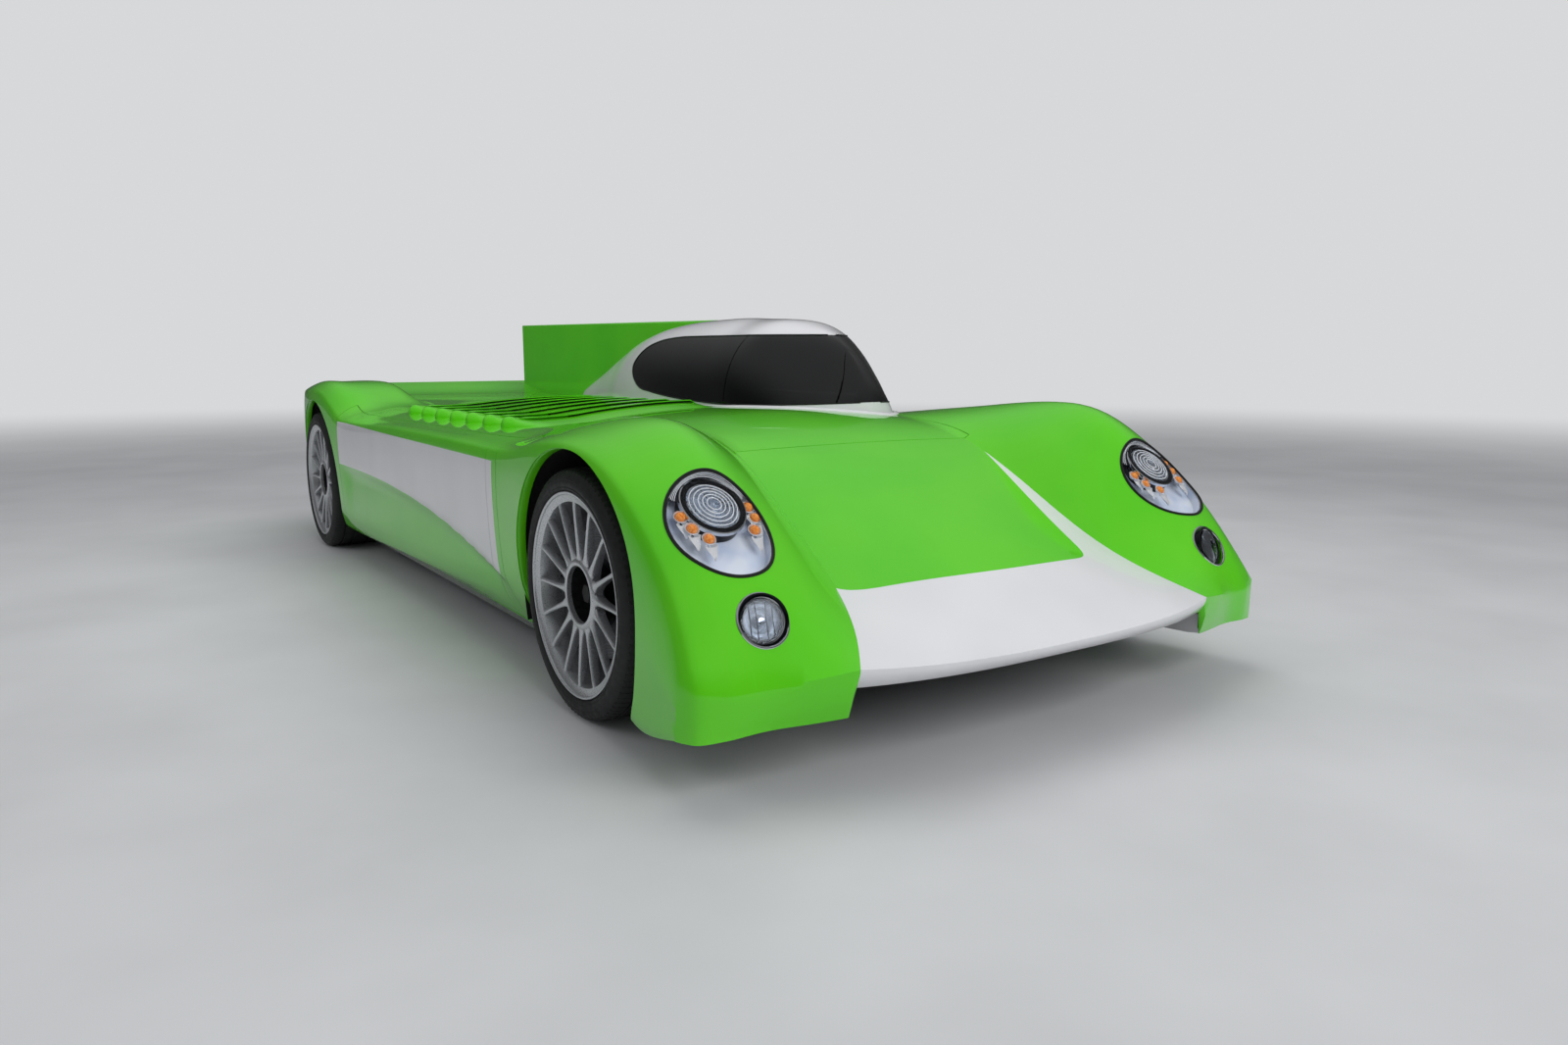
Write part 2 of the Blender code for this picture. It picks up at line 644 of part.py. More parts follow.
def louvre(y, rise, length, lift, bottom, outer_x, inner_x):
    """One hood: a wedge that rises to the rear over a slot, with a rounded outer end."""
    rows = []
    for step in range(louvre_steps + 1):
        x = outer_x + (inner_x - outer_x) * (step / louvre_steps) ** louvre_spacing_power
        inward = min((x - outer_x) / louvre_round, 1.0)
        swell = math.sqrt(max(1 - (1 - inward) ** 2, 0.0))
        height = rise * (louvre_end_share + (1 - louvre_end_share) * swell)
        base = deck_height(x, y)
        front, back = (y + louvre_profile_shares[k][0] * length for k in (0, -1))
        top = [Vector((x, y + along * length, base + up * height - lift))
               for along, up in louvre_profile_shares]
        rows.append([Vector((x, front, base - bottom)), *top, Vector((x, back, base - bottom))])
    return loop_mesh(rows)


def make_body(paint, white, dark):
    """Shell split into panels, with arches, lamp holes and the opening under the bubble."""
    blank = body_blank()
    shell = combine(blank.copy(), [body_core(body_wall)], "DIFFERENCE")
    cutters = []
    for side in (-1, 1):
        for y, radius, high in (
                (front_axle_y - front_arch_ahead, front_arch_radius, tyre_radius - arch_drop),
                (rear_axle_y, rear_arch_radius, tyre_radius)):
            cutters.append(rod((side * arch_inner_share * body_half_width, y, high),
                               (side * (body_half_width + overrun), y, high), radius,
                               arch_segments))
    cutters.append(prism(bubble_hole(base_lap), 2, floor_height, roof_height + overrun))
    shell = combine(shell, cutters, "DIFFERENCE")
    lamps = []
    for side in (-1, 1):
        lamps.append(oval(lamp_spot(headlamp_shares, side), headlamp_across, headlamp_along,
                          (side * headlamp_facing[0], *headlamp_facing[1:]), headlamp_depth,
                          headlamp_depth, headlamp_segments))
        lamps.append(oval(lamp_spot(fog_shares, side), fog_radius, fog_radius,
                          (side * fog_facing[0], *fog_facing[1:]), fog_depth, fog_depth,
                          fog_segments))
    shell = combine(shell, lamps, "DIFFERENCE")
    for name, outline in panel_outlines().items():
        low = deck_cut_share * crest_height if name in top_panels else -overrun
        region = prism(inset_outline(outline, seam_gap / 2), 2, low, roof_height + overrun)
        panel = combine(shell.copy(), [region], "INTERSECT")
        if name == "louvre_deck":
            panel = add_louvres(panel)
        place(name, smooth(panel), white if name == "nose_panel" else paint)
    tail = combine(body_core(body_wall + seat_gap), [block(
        (-body_half_width, tail_panel_y, tail_panel_low),
        (body_half_width, tail_panel_y + tail_panel_thickness, roof_height))], "INTERSECT")
    lamp_cuts = [tail_lamp_box(side, seat_gap) for side in (-1, 1)]
    place("tail_panel", smooth(combine(tail, lamp_cuts, "DIFFERENCE")), dark)
    return blank


tail_panel_share = 0.48817
tail_panel_y = tail_panel_share * body_length
tail_panel_thickness = 0.02
tail_panel_low_share = 0.4359
tail_panel_low = tail_panel_low_share * crest_height
tail_lamp_x_share = 0.53886
tail_lamp_z_share = 0.79487
tail_lamp_half = (0.11, 0.024, 0.03)


def tail_lamp_box(side, margin):
    half = tail_lamp_half
    y = tail_panel_y + tail_panel_thickness / 2
    x, z = side * tail_lamp_x_share * body_half_width, tail_lamp_z_share * crest_height
    return block((x - half[0] - margin, y - half[1], z - half[2] - margin),
                 (x + half[0] + margin, y + half[1], z + half[2] + margin))


def add_louvres(panel):
    """Raise the hoods on the deck and open the slot under each."""
    hoods, slots = [], []
    for i in range(louvre_count):
        y = (louvre_first_share + i * louvre_pitch_share) * body_length
        inner = min(bubble_edge_x(y) - base_lap, bubble_x - 2 * base_lap)
        outer = louvre_outer_share * body_half_width
        edge = louvre_sheet * 2
        hoods.append(louvre(y, louvre_rise, louvre_length, 0.0, body_wall / 2, outer, inner))
        slots.append(louvre(y + edge, louvre_rise, louvre_length, louvre_sheet, body_wall * 3,
                            outer + edge, inner - edge))
    panel = combine(panel, hoods, "UNION")
    return combine(panel, slots, "DIFFERENCE")


def bubble_edge_x(y):
    """X of the bubble's right foot at one station."""
    wide = follow(bubble_shares, y / body_length)[0]
    if y / body_length > bubble_shares[-1][0]:
        return bubble_x
    return bubble_x - wide * bubble_half_width


def bubble_half_at(share, z):
    """Half width of the bubble at one station and height."""
    wide, high, power = follow(bubble_shares, share)
    level = min((z - bubble_base) / (high * (roof_height - bubble_base)), 1.0)
    return wide * bubble_half_width * (1 - level ** power) ** (1 / power)


# Bubble openings, as shares of body_length and heights
pillar_share = -0.128
pillar_half = 0.008
side_window_shares = [(0.0, 0.0), (0.028, 0.09), (0.050, 0.27), (0.062, 0.47), (0.060, 0.65),
                      (0.046, 0.84), (0.018, 0.955), (-0.020, 1.0)]
door_front_share = -0.124
door_back_share = 0.026
door_low_share = 0.18717
door_high_share = 0.86096
door_top = bubble_base + door_high_share * canopy_rise
door_bottom = bubble_base + door_low_share * canopy_rise
door_frame = 0.034
door_sill_share = 0.6
door_corner = 0.03
pane_corner = 0.05
pane_front_share = 0.4
corner_steps = 3
screen_front_share = -0.24
door_gap = 0.005


def rounded(low, high, radius, rounds):
    """A box outline in (y, z) with some corners round: front low, rear low, rear top, front top."""
    corners = [((low[0], low[1]), 180), ((high[0], low[1]), 270), ((high[0], high[1]), 0),
               ((low[0], high[1]), 90)]
    inward = [(1, 1), (-1, 1), (-1, -1), (1, -1)]
    outline = []
    for (corner, start), (sx, sz), size in zip(corners, inward, rounds):
        r = radius * size
        if r == 0:
            outline.append(corner)
            continue
        cx, cz = corner[0] + sx * r, corner[1] + sz * r
        for k in range(corner_steps + 1):
            angle = math.radians(start + 90 * k / corner_steps)
            outline.append((cx + r * math.cos(angle), cz + r * math.sin(angle)))
    return outline


def make_bubble(paint, white, glass, blank):
    """Roof, screen, side window, door and fin."""
    outer = bubble_blank(0.0, overrun, bubble_steps)
    inner = bubble_blank(bubble_wall, overrun * 2, bubble_inner_steps)
    bubble = combine(outer.copy(), [inner], "DIFFERENCE")
    lift = Matrix.Translation((0, 0, seat_gap))
    bubble = combine(bubble, [moved(blank, lift)], "DIFFERENCE")
    far = bubble_half_width + overrun
    pillar_y = pillar_share * body_length
    half_gap = seam_gap / 2
    front_y = screen_front_share * body_length
    screen = [(front_y, glass_bottom), (pillar_y - pillar_half, glass_bottom),
              (pillar_y - pillar_half, glass_top), (front_y, glass_top)]
    side = [(pillar_y + pillar_half, glass_top), (pillar_y + pillar_half, glass_bottom)]
    side += [(share * body_length, glass_bottom + level * (glass_top - glass_bottom))
             for share, level in side_window_shares]
    door_front, door_back = door_front_share * body_length, door_back_share * body_length
    door = rounded((door_front, door_bottom), (door_back, door_top), door_corner, (1, 1, 1, 1))
    pane = rounded((door_front + door_frame, door_bottom + door_frame * door_sill_share),
                   (door_back - door_frame, door_top - door_frame), pane_corner,
                   (pane_front_share, 1, 1, pane_front_share))
    spans = {"windscreen": (screen, bubble_x - far, bubble_x + far),
             "side_window": (side, bubble_x - far, bubble_x),
             "door_frame": (door, bubble_x, bubble_x + far)}
    holes = [prism(outline, 0, low, high) for outline, low, high in spans.values()]
    roof = combine(bubble.copy(), holes, "DIFFERENCE")
    place("canopy_roof", smooth(roof), white)
    for name in ("windscreen", "side_window"):
        outline, low, high = spans[name]
        piece = combine(bubble.copy(), [prism(inset_outline(outline, half_gap), 0, low, high)],
                        "INTERSECT")
        place(name, smooth(piece), glass)
    outline = rounded((door_front + door_gap, door_bottom + door_gap),
                      (door_back - door_gap, door_top - seam_gap), door_corner, (1, 1, 1, 1))
    low, high = bubble_x, bubble_x + far
    whole = combine(bubble.copy(), [prism(outline, 0, low, high)], "INTERSECT")
    frame = combine(whole.copy(), [prism(pane, 0, low, high)], "DIFFERENCE")
    glazing = combine(whole, [prism(inset_outline(pane, half_gap), 0, low, high)], "INTERSECT")
    middle_share = (door_front_share + door_back_share) / 2
    hinge = Vector((bubble_x + bubble_half_at(middle_share, door_top),
                    middle_share * body_length, door_top))
    for name, mesh, material in (("door_frame", frame, white), ("door_glass", glazing, glass)):
        place(name, smooth(moved(mesh, Matrix.Translation(-hinge))), material, hinge)
    make_fin(paint, outer, blank)


# Fin outline: share of body_length, height
fin_front_share = -0.005
fin_tail_share = 0.4825


def make_fin(paint, bubble, blank):
    """Upright fin from the back of the roof to the tail, seated on roof and deck."""
    front_y, tail_y = fin_front_share * body_length, fin_tail_share * body_length
    outline = [(front_y, bubble_base), (tail_y, bubble_base - overrun), (tail_y, fin_top),
               (front_y, roof_height - bubble_wall)]
    half = fin_thickness / 2
    fin = prism(outline, 0, bubble_x - half, bubble_x + half)
    grown = bubble_blank(-seat_gap, overrun, bubble_steps)
    lifted = moved(blank, Matrix.Translation((0, 0, seat_gap)))
    fin = combine(fin, [grown, lifted], "DIFFERENCE")
    place("fin", fin, paint)


# Wheel details
hub_share = 0.19018
hub_radius = hub_share * tyre_radius
hub_throat_share = 0.9
hub_mouth = 0.030
hub_recess = 0.016
hub_lip = 0.006
hub_dish = 0.026
spoke_root = 0.020
spoke_tip = 0.012
spoke_bury = 0.006
spoke_depth = 0.026
spoke_recess = 0.012
lip_wall = 0.007
lip_bevel = 0.008
lip_depth = 0.014
rim_wall = 0.008
disc_share = 0.5368
disc_radius = disc_share * tyre_radius
disc_thickness = 0.026
disc_set = 0.05
disc_x = kingpin_x + disc_set
bore_radius = 0.0306
bore_depth = 0.030
core_radius = 0.0015
core_step = 0.004
axle_radius = 0.030


def wheel_mesh():
    """Rim, spokes, hub and brake disc as one body, its outer face at +X, centred on the axle."""
    face = wheel_face_x
    back = face - tyre_width
    barrel = bead_radius - rim_wall
    profile = [(face, lip_radius), (face, lip_radius - lip_wall), (face - lip_depth, barrel),
               (back, barrel), (back, lip_radius), (back + lip_depth, bead_radius),
               (face - lip_depth, bead_radius), (face - lip_bevel, lip_radius)]
    rim = turned(profile, round_segments)
    pieces = []
    hub_face = face - hub_recess
    disc_front, disc_back = disc_x + disc_thickness / 2, disc_x - disc_thickness / 2
    hub = turned([(hub_face - hub_lip, hub_mouth), (hub_face, hub_radius),
                  (hub_face - spoke_depth, hub_radius),
                  (disc_front, hub_radius * hub_throat_share), (disc_front, disc_radius),
                  (disc_back, disc_radius), (disc_back, bore_radius),
                  (disc_back + bore_depth, bore_radius),
                  (disc_back + bore_depth + core_step, core_radius),
                  (face - hub_dish, core_radius)], hub_segments)
    reach = barrel + rim_wall / 2
    for i in range(spoke_count):
        outline = [(hub_radius - spoke_bury, -spoke_root / 2), (reach, -spoke_tip / 2),
                   (reach, spoke_tip / 2), (hub_radius - spoke_bury, spoke_root / 2)]
        spoke = prism([(b, a) for a, b in outline], 0, face - spoke_recess - spoke_depth,
                      face - hub_recess)
        pieces.append(moved(spoke, Matrix.Rotation(2 * math.pi * i / spoke_count, 4, "X")))
    joined = bmesh.new()
    for piece in pieces:
        joined.from_mesh(piece)
    star = bpy.data.meshes.new("star")
    joined.to_mesh(star)
    joined.free()
    wheel = combine(hub, [star, rim], "UNION")
    return moved(wheel, Matrix.Translation((-wheel_face_x + tyre_width / 2, 0, 0)))


# Tyre section
bead_inset = 0.018
flange_inset = 0.011
flange_clear = 0.002
wall_bulge = 0.004
wall_height = 0.018
tread_drop = 0.016
tread_inset = 0.022
edge_inset = 0.002


def tyre_mesh():
    """Solid tyre ring seated on the rim."""
    half = tyre_width / 2
    side = [(half - bead_inset, bead_radius + seat_gap), (half - flange_inset, lip_radius + flange_clear),
            (half + wall_bulge, lip_radius + wall_height), (half - edge_inset, tyre_radius - tread_drop),
            (half - tread_inset, tyre_radius)]
    return turned(side + [(-x, radius) for x, radius in side[::-1]], round_segments)


def make_wheels(rubber, metal):
    """Four equal wheels; each object's origin is on its axle."""
    wheel = smooth(wheel_mesh())
    tyre = smooth(tyre_mesh())
    centre_x = wheel_face_x - tyre_width / 2
    for side, word in ((-1, "right"), (1, "left")):
        for y, end in ((front_axle_y, "front"), (rear_axle_y, "rear")):
            spot = (side * centre_x, y, tyre_radius)
            for mesh, name, material in ((wheel, "wheel", metal), (tyre, "tyre", rubber)):
                thing = place(f"{name}_{end}_{word}", mesh, material, spot)
                thing.rotation_euler = (0, 0, 0 if side > 0 else math.pi)


# Suspension
arm_width = 0.03
arm_thickness = 0.024
arm_inner_share = 0.35233
arm_spread = 0.13
lower_arm_share = 0.65951
upper_arm_share = 1.33436
fork_share = 2.4
ball_radius = 0.026
ball_height = 0.036
frame_plate = 0.02
frame_margin = 0.03
frame_low = floor_height + floor_thickness
post_half = (0.02, 0.03)
collar_radius = 0.045
collar_gap = 0.0006
stub_gap = 0.003


def suspension_mesh(y):
    """Wishbones of both sides on one cross frame."""
    x = arm_inner_share * body_half_width
    low = frame_low + seat_gap
    reach = arm_spread + frame_margin
    plate = block((-x - frame_margin / 2, y - reach - frame_margin / 2, low),
                  (x + frame_margin / 2, y + reach + frame_margin / 2, low + frame_plate))
    tools = []
    for side in (-1, 1):
        inner = sorted((side * x, side * (x - frame_plate)))
        tools.append(block((inner[0], y - reach, low + frame_plate / 2),
                           (inner[1], y + reach, upper_arm_share * tyre_radius + frame_margin)))
        for z in (lower_arm_share * tyre_radius, upper_arm_share * tyre_radius):
            root, tip = side * (x - frame_plate / 2), side * kingpin_x
            fork = side * (kingpin_x - ball_radius * fork_share)
            half = arm_width / 2
            outline = [(root, y - arm_spread - half), (tip, y - half), (tip, y + half),
                       (root, y + arm_spread + half), (root, y + arm_spread - half), (fork, y),
                       (root, y - arm_spread + half)]
            tools.append(prism(outline, 2, z - arm_thickness / 2, z + arm_thickness / 2))
            tools.append(rod((tip, y, z - ball_height / 2), (tip, y, z + ball_height / 2),
                             ball_radius, pin_segments))
    return combine(plate, tools, "UNION")


def upright_mesh(side, y):
    """Upright between the two ball joints with its stub axle; its origin is at the wheel centre."""
    x = side * kingpin_x
    low = lower_arm_share * tyre_radius + ball_height / 2 + seat_gap
    high = upper_arm_share * tyre_radius - ball_height / 2 - seat_gap
    post = block((x - post_half[0], y - post_half[1], low), (x + post_half[0], y + post_half[1], high))
    disc_back = disc_x - disc_thickness / 2
    stub = rod((x, y, tyre_radius), (side * (disc_back + bore_depth - stub_gap), y, tyre_radius),
               axle_radius, hub_segments)
    collar = rod((x, y, tyre_radius), (side * (disc_back - collar_gap), y, tyre_radius),
                 collar_radius, hub_segments)
    return combine(post, [collar, stub], "UNION")


def make_running_gear(steel, dark):
    for y, end in ((front_axle_y, "front"), (rear_axle_y, "rear")):
        place(f"{end}_suspension", suspension_mesh(y), dark)
        for side, word in ((-1, "right"), (1, "left")):
            name = f"front_knuckle_{word}" if end == "front" else f"rear_upright_{word}"
            mesh = upright_mesh(side, y)
            spot = Vector((side * kingpin_x, y, tyre_radius))
            place(name, moved(mesh, Matrix.Translation(-spot)), steel, spot)


# Floor, as shares of body_half_width across, of body_length along and of crest_height up
floor_wide_share = 0.8601
keel_wide_share = 0.53886
floor_front_share = -0.22796
floor_back_share = 0.24946
nose_floor_share = -0.49462
nose_bend_share = -0.39140
nose_floor_up_share = 0.16026
diffuser_start_share = 0.4086
diffuser_back_share = 0.48172
diffuser_up_share = 0.20513


def make_floor(dark):
    """Flat floor with a narrower run under the nose and a diffuser that rises to the tail."""
    low, top = floor_height, floor_height + floor_thickness
    half = floor_wide_share * body_half_width
    wide = block((-half, floor_front_share * body_length, low),
                 (half, floor_back_share * body_length, top))
    run = [(nose_floor_share, nose_floor_up_share), (nose_bend_share, 0.0),
           (diffuser_start_share, 0.0), (diffuser_back_share, diffuser_up_share)]
    under = [(along * body_length, low + up * crest_height) for along, up in run]
    upper = [(y, z + floor_thickness) for y, z in under[::-1]]
    half = keel_wide_share * body_half_width
    keel = prism(under + upper, 0, -half, half)
    keel = combine(keel, [body_core(body_wall + seat_gap)], "INTERSECT")
    place("floor_pan", combine(wide, [keel], "UNION"), dark)


# Cockpit, as shares of bubble_half_width across and of body_length along
tub_wide_share = 0.90909
tub_front_share = -0.21935
tub_back_share = 0.12903
tub_wall = 0.018
tub_drop = 0.045
tub_top = bubble_base - tub_drop
seat_share = -0.0129
seat_wide_share = 0.66667
seat_run_share = 0.17419
seat_height_share = 0.61453
seat_shares = [(-0.37037, 0.0), (0.51852, 0.0), (0.61728, 0.93939), (0.54321, 1.0), (0.44444, 0.90909),
               (0.20988, 0.24242), (-0.02469, 0.18182), (-0.34568, 0.25758), (-0.38272, 0.22727)]
dash_back_share = -0.12043
dash_run_share = 0.03441
dash_height = 0.16
dash_crown = 0.02
wheel_back_share = -0.09032
wheel_drop = 0.045
wheel_ring_share = 0.45455


def make_cockpit(dark, leather, metal):
    """Open-topped tub, seat, dash and steering wheel on the bubble's centre line."""
    base = frame_low + seat_gap
    half = tub_wide_share * bubble_half_width
    low_x, high_x = bubble_x - half, bubble_x + half
    front, back = tub_front_share * body_length, tub_back_share * body_length
    tub = block((low_x, front, base), (high_x, back, tub_top))
    room = block((low_x + tub_wall, front + tub_wall, base + tub_wall),
                 (high_x - tub_wall, back - tub_wall, tub_top + overrun))
    place("cockpit_tub", combine(tub, [room], "DIFFERENCE"), dark)
    floor = base + tub_wall + seat_gap
    outline = [((seat_share + along * seat_run_share) * body_length,
                floor + up * seat_height_share * roof_height) for along, up in seat_shares]
    half = seat_wide_share * bubble_half_width
    seat = prism(outline, 0, bubble_x - half, bubble_x + half)
    place("seat", smooth(seat), leather)
    back = dash_back_share * body_length
    front = back - dash_run_share * body_length
    dash = prism([(front, tub_top - dash_height), (back, tub_top - dash_height), (back, tub_top),
                  (front, tub_top + dash_crown)], 0,
                 low_x + tub_wall + seat_gap, high_x - tub_wall - seat_gap)
    place("dash", smooth(dash), dark)
    make_steering_wheel(metal)


column_radius = 0.016
column_nose = 0.012
column_length = (wheel_back_share - dash_back_share) * body_length - seat_gap
wheel_tube = 0.013
wheel_tube_sides = 5
wheel_spoke_radius = 0.010


def make_steering_wheel(metal):
    """Ring, hub and three spokes; its origin is on the column's axis."""
    reach = wheel_ring_share * bubble_half_width
    turns = [2 * math.pi * k / wheel_tube_sides for k in range(wheel_tube_sides)]
    ring = turned([(math.cos(a) * wheel_tube, reach + math.sin(a) * wheel_tube) for a in turns],
                  hub_segments)
    tools = [rod((-column_nose, 0, 0), (column_length, 0, 0), column_radius, pin_segments)]
    for k in range(3):
        angle = math.radians(90 + 120 * k)
        tools.append(rod((0, 0, 0), (0, math.cos(angle) * reach, math.sin(angle) * reach),
                         wheel_spoke_radius, bar_segments))
    mesh = combine(ring, tools, "UNION")
    spot = (bubble_x, wheel_back_share * body_length, tub_top - wheel_drop)
    thing = place("steering_wheel", smooth(mesh), metal, spot)
    thing.rotation_euler = (0, 0, -math.pi / 2)


# Heavy masses: shares of body_half_width, of body_length and of crest_height
battery_low_shares = (-0.76684, -0.09032)
battery_high_shares = (0.02073, 0.18065, 0.71795)
drive_wide_share = 0.26943
drive_half_share = 0.03226
drive_top_share = 0.53846


def make_masses(dark):
    """Battery and drive units as plain blocks at their real place."""
    base = frame_low + seat_gap
    low = (battery_low_shares[0] * body_half_width, battery_low_shares[1] * body_length, base)
    high = (battery_high_shares[0] * body_half_width, battery_high_shares[1] * body_length,
            battery_high_shares[2] * crest_height)
    place("battery_pack", block(low, high), dark)
    shelf = base + frame_plate + seat_gap
    half_x, half_y = drive_wide_share * body_half_width, drive_half_share * body_length
    for y, end in ((front_axle_y, "front"), (rear_axle_y, "rear")):
        place(f"{end}_drive_unit", block((-half_x, y - half_y, shelf),
                                         (half_x, y + half_y, drive_top_share * crest_height)), dark)


def make_lamps(lens, dark, red):
    for side, word in ((-1, "right"), (1, "left")):
        facing = (side * headlamp_facing[0], *headlamp_facing[1:])
        unit = oval(lamp_spot(headlamp_shares, side), headlamp_across - lamp_gap,
                    headlamp_along - lamp_gap, facing, headlamp_depth * headlamp_seat_share,
                    headlamp_proud, headlamp_segments)
        place(f"headlamp_{word}", smooth(unit), lens)
        facing = (side * fog_facing[0], *fog_facing[1:])
        unit = oval(lamp_spot(fog_shares, side), fog_radius - lamp_gap, fog_radius - lamp_gap,
                    facing, fog_depth * headlamp_seat_share, fog_proud, fog_segments)
        place(f"fog_lamp_{word}", smooth(unit), lens)
        place(f"tail_lamp_{word}", tail_lamp_box(side, 0.0), red)


def main():
    clear_scene()
    paint = finish("green_paint", (0.08, 0.56, 0.012), 0.25)
    white = finish("white_paint", (0.82, 0.82, 0.82), 0.3)
    glass = finish("tinted_glass", (0.02, 0.02, 0.025), 0.05, 0.0, 0.6)
    dark = finish("dark_composite", (0.02, 0.02, 0.022), 0.5)
    metal = finish("silver_alloy", (0.5, 0.5, 0.52), 0.3, 1.0)
    steel = finish("steel", (0.35, 0.35, 0.36), 0.4, 1.0)
    rubber = finish("rubber", (0.015, 0.015, 0.015), 0.8)
    leather = finish("seat_cloth", (0.03, 0.03, 0.03), 0.9)
    lens = finish("lamp_lens", (0.7, 0.75, 0.8), 0.05)
    red = finish("tail_lens", (0.5, 0.02, 0.02), 0.1)
    blank = make_body(paint, white, dark)
    make_bubble(paint, white, glass, blank)
    make_wheels(rubber, metal)
    make_running_gear(steel, dark)
    make_floor(dark)
    make_cockpit(dark, leather, metal)
    make_masses(dark)
    make_lamps(lens, dark, red)


main()
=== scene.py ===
"""Looks of the electric sports car prototype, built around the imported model."""
import math
import bmesh
import bpy
from mathutils import Matrix, Vector
from mathutils.bvhtree import BVHTree


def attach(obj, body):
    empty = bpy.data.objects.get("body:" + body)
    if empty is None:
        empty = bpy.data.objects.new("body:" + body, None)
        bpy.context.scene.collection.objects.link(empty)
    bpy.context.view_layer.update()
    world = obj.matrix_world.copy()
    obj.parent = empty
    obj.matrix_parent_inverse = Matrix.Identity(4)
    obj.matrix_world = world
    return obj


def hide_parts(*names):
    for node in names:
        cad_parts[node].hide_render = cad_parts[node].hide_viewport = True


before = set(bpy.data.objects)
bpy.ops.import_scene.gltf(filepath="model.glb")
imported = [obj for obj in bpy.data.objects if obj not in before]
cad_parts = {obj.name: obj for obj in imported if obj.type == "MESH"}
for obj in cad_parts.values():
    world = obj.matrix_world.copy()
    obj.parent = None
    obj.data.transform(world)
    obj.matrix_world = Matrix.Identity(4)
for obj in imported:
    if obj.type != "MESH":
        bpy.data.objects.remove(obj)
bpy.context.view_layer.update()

both_sides = ((-1, "right"), (1, "left"))


def round_turns(count):
    """Angles once round, in equal steps."""
    return [2 * math.pi * k / count for k in range(count)]


def arc(start_deg, sweep_deg, steps):
    """Angles along an arc, both ends among them."""
    return [math.radians(start_deg + sweep_deg * k / steps) for k in range(steps + 1)]


def between(start, end, steps):
    """Evenly spaced values, both ends among them."""
    return [start + (end - start) * k / steps for k in range(steps + 1)]


# Small builders

def linear(code):
    """An sRGB hex colour as linear numbers with full alpha."""
    def one(text):
        value = int(text, 16) / 255
        return value / 12.92 if value <= 0.04045 else ((value + 0.055) / 1.055) ** 2.4
    return (one(code[1:3]), one(code[3:5]), one(code[5:7]), 1.0)


def add(tree, kind, values=None, links=None, **settings):
    """One node with its settings, its input values and the sockets that feed it."""
    made = tree.nodes.new(kind)
    for name, value in settings.items():
        setattr(made, name, value)
    for key, value in (values or {}).items():
        made.inputs[key].default_value = value
    for key, source in (links or {}).items():
        tree.links.new(source, made.inputs[key])
    return made


def mesh_of(name, vertices, faces, smooth_deg=35.0, uv=None):
    """A mesh with outward faces, smooth up to an angle; uv holds one pair for each vertex."""
    mesh = bpy.data.meshes.new(name)
    mesh.from_pydata([tuple(v) for v in vertices], [], faces)
    if uv:
        layer = mesh.uv_layers.new(name="UVMap")
        for loop in mesh.loops:
            layer.data[loop.index].uv = uv[loop.vertex_index]
    work = bmesh.new()
    work.from_mesh(mesh)
    bmesh.ops.remove_doubles(work, verts=work.verts, dist=0.00002)
    bmesh.ops.recalc_face_normals(work, faces=work.faces)
    work.to_mesh(mesh)
    work.free()
    return soften(mesh, smooth_deg)


def soften(mesh, smooth_deg=35.0):
    """Smooth shading up to an angle between faces."""
    mesh.shade_smooth()
    mesh.set_sharp_from_angle(angle=math.radians(smooth_deg))
    return mesh


def taken(name, work):
    """The mesh of a working bmesh."""
    mesh = bpy.data.meshes.new(name)
    work.to_mesh(mesh)
    work.free()
    return soften(mesh)


def linked(name, data):
    """An object of the data, linked to the scene."""
    thing = bpy.data.objects.new(name, data)
    bpy.context.collection.objects.link(thing)
    return thing


def loft(name, rows, ring=True, around=False, caps=True, smooth_deg=35.0, uv=None):
    """A skin over rows of points; ring closes each row, around joins the last row to the first."""
    count = len(rows[0])
    faces = []
    for r in range(len(rows) if around else len(rows) - 1):
        after = (r + 1) % len(rows)
        for c in range(count if ring else count - 1):
            d = (c + 1) % count
            faces.append([r * count + c, r * count + d, after * count + d, after * count + c])
    if caps and ring and not around:
        faces += [list(range(count)), [(len(rows) - 1) * count + c for c in range(count)]]
    return mesh_of(name, [p for row in rows for p in row], faces, smooth_deg, uv)


def turned(name, profile, segments=96, start_deg=0.0, sweep_deg=360.0, smooth_deg=35.0):
    """A closed profile of (x, radius) pairs turned about the X axis; its UV is turn and profile."""
    whole = sweep_deg >= 360.0
    rows, uv = [], []
    for step in range(segments if whole else segments + 1):
        angle = math.radians(start_deg + sweep_deg * step / segments)
        y, z = math.cos(angle), math.sin(angle)
        rows.append([(x, r * y, r * z) for x, r in profile])
        uv += [(step / segments, k / len(profile)) for k in range(len(profile))]
    return loft(name, rows, around=whole, smooth_deg=smooth_deg, uv=uv)


def tube(name, points, radius, closed=False, sides=10):
    """A round bar along points."""
    rows = []
    count = len(points)
    normal = None
    for i, here in enumerate(points):
        before = points[i - 1] if closed or i else here
        after = points[(i + 1) % count] if closed or i + 1 < count else here
        along = (Vector(after) - Vector(before)).normalized()
        if normal is None:
            normal = along.orthogonal().normalized()
        normal = (normal - along * normal.dot(along)).normalized()
        side = along.cross(normal)
        rows.append([Vector(here) + (normal * math.cos(a) + side * math.sin(a)) * radius
                     for a in round_turns(sides)])
    return loft(name, rows, around=closed)


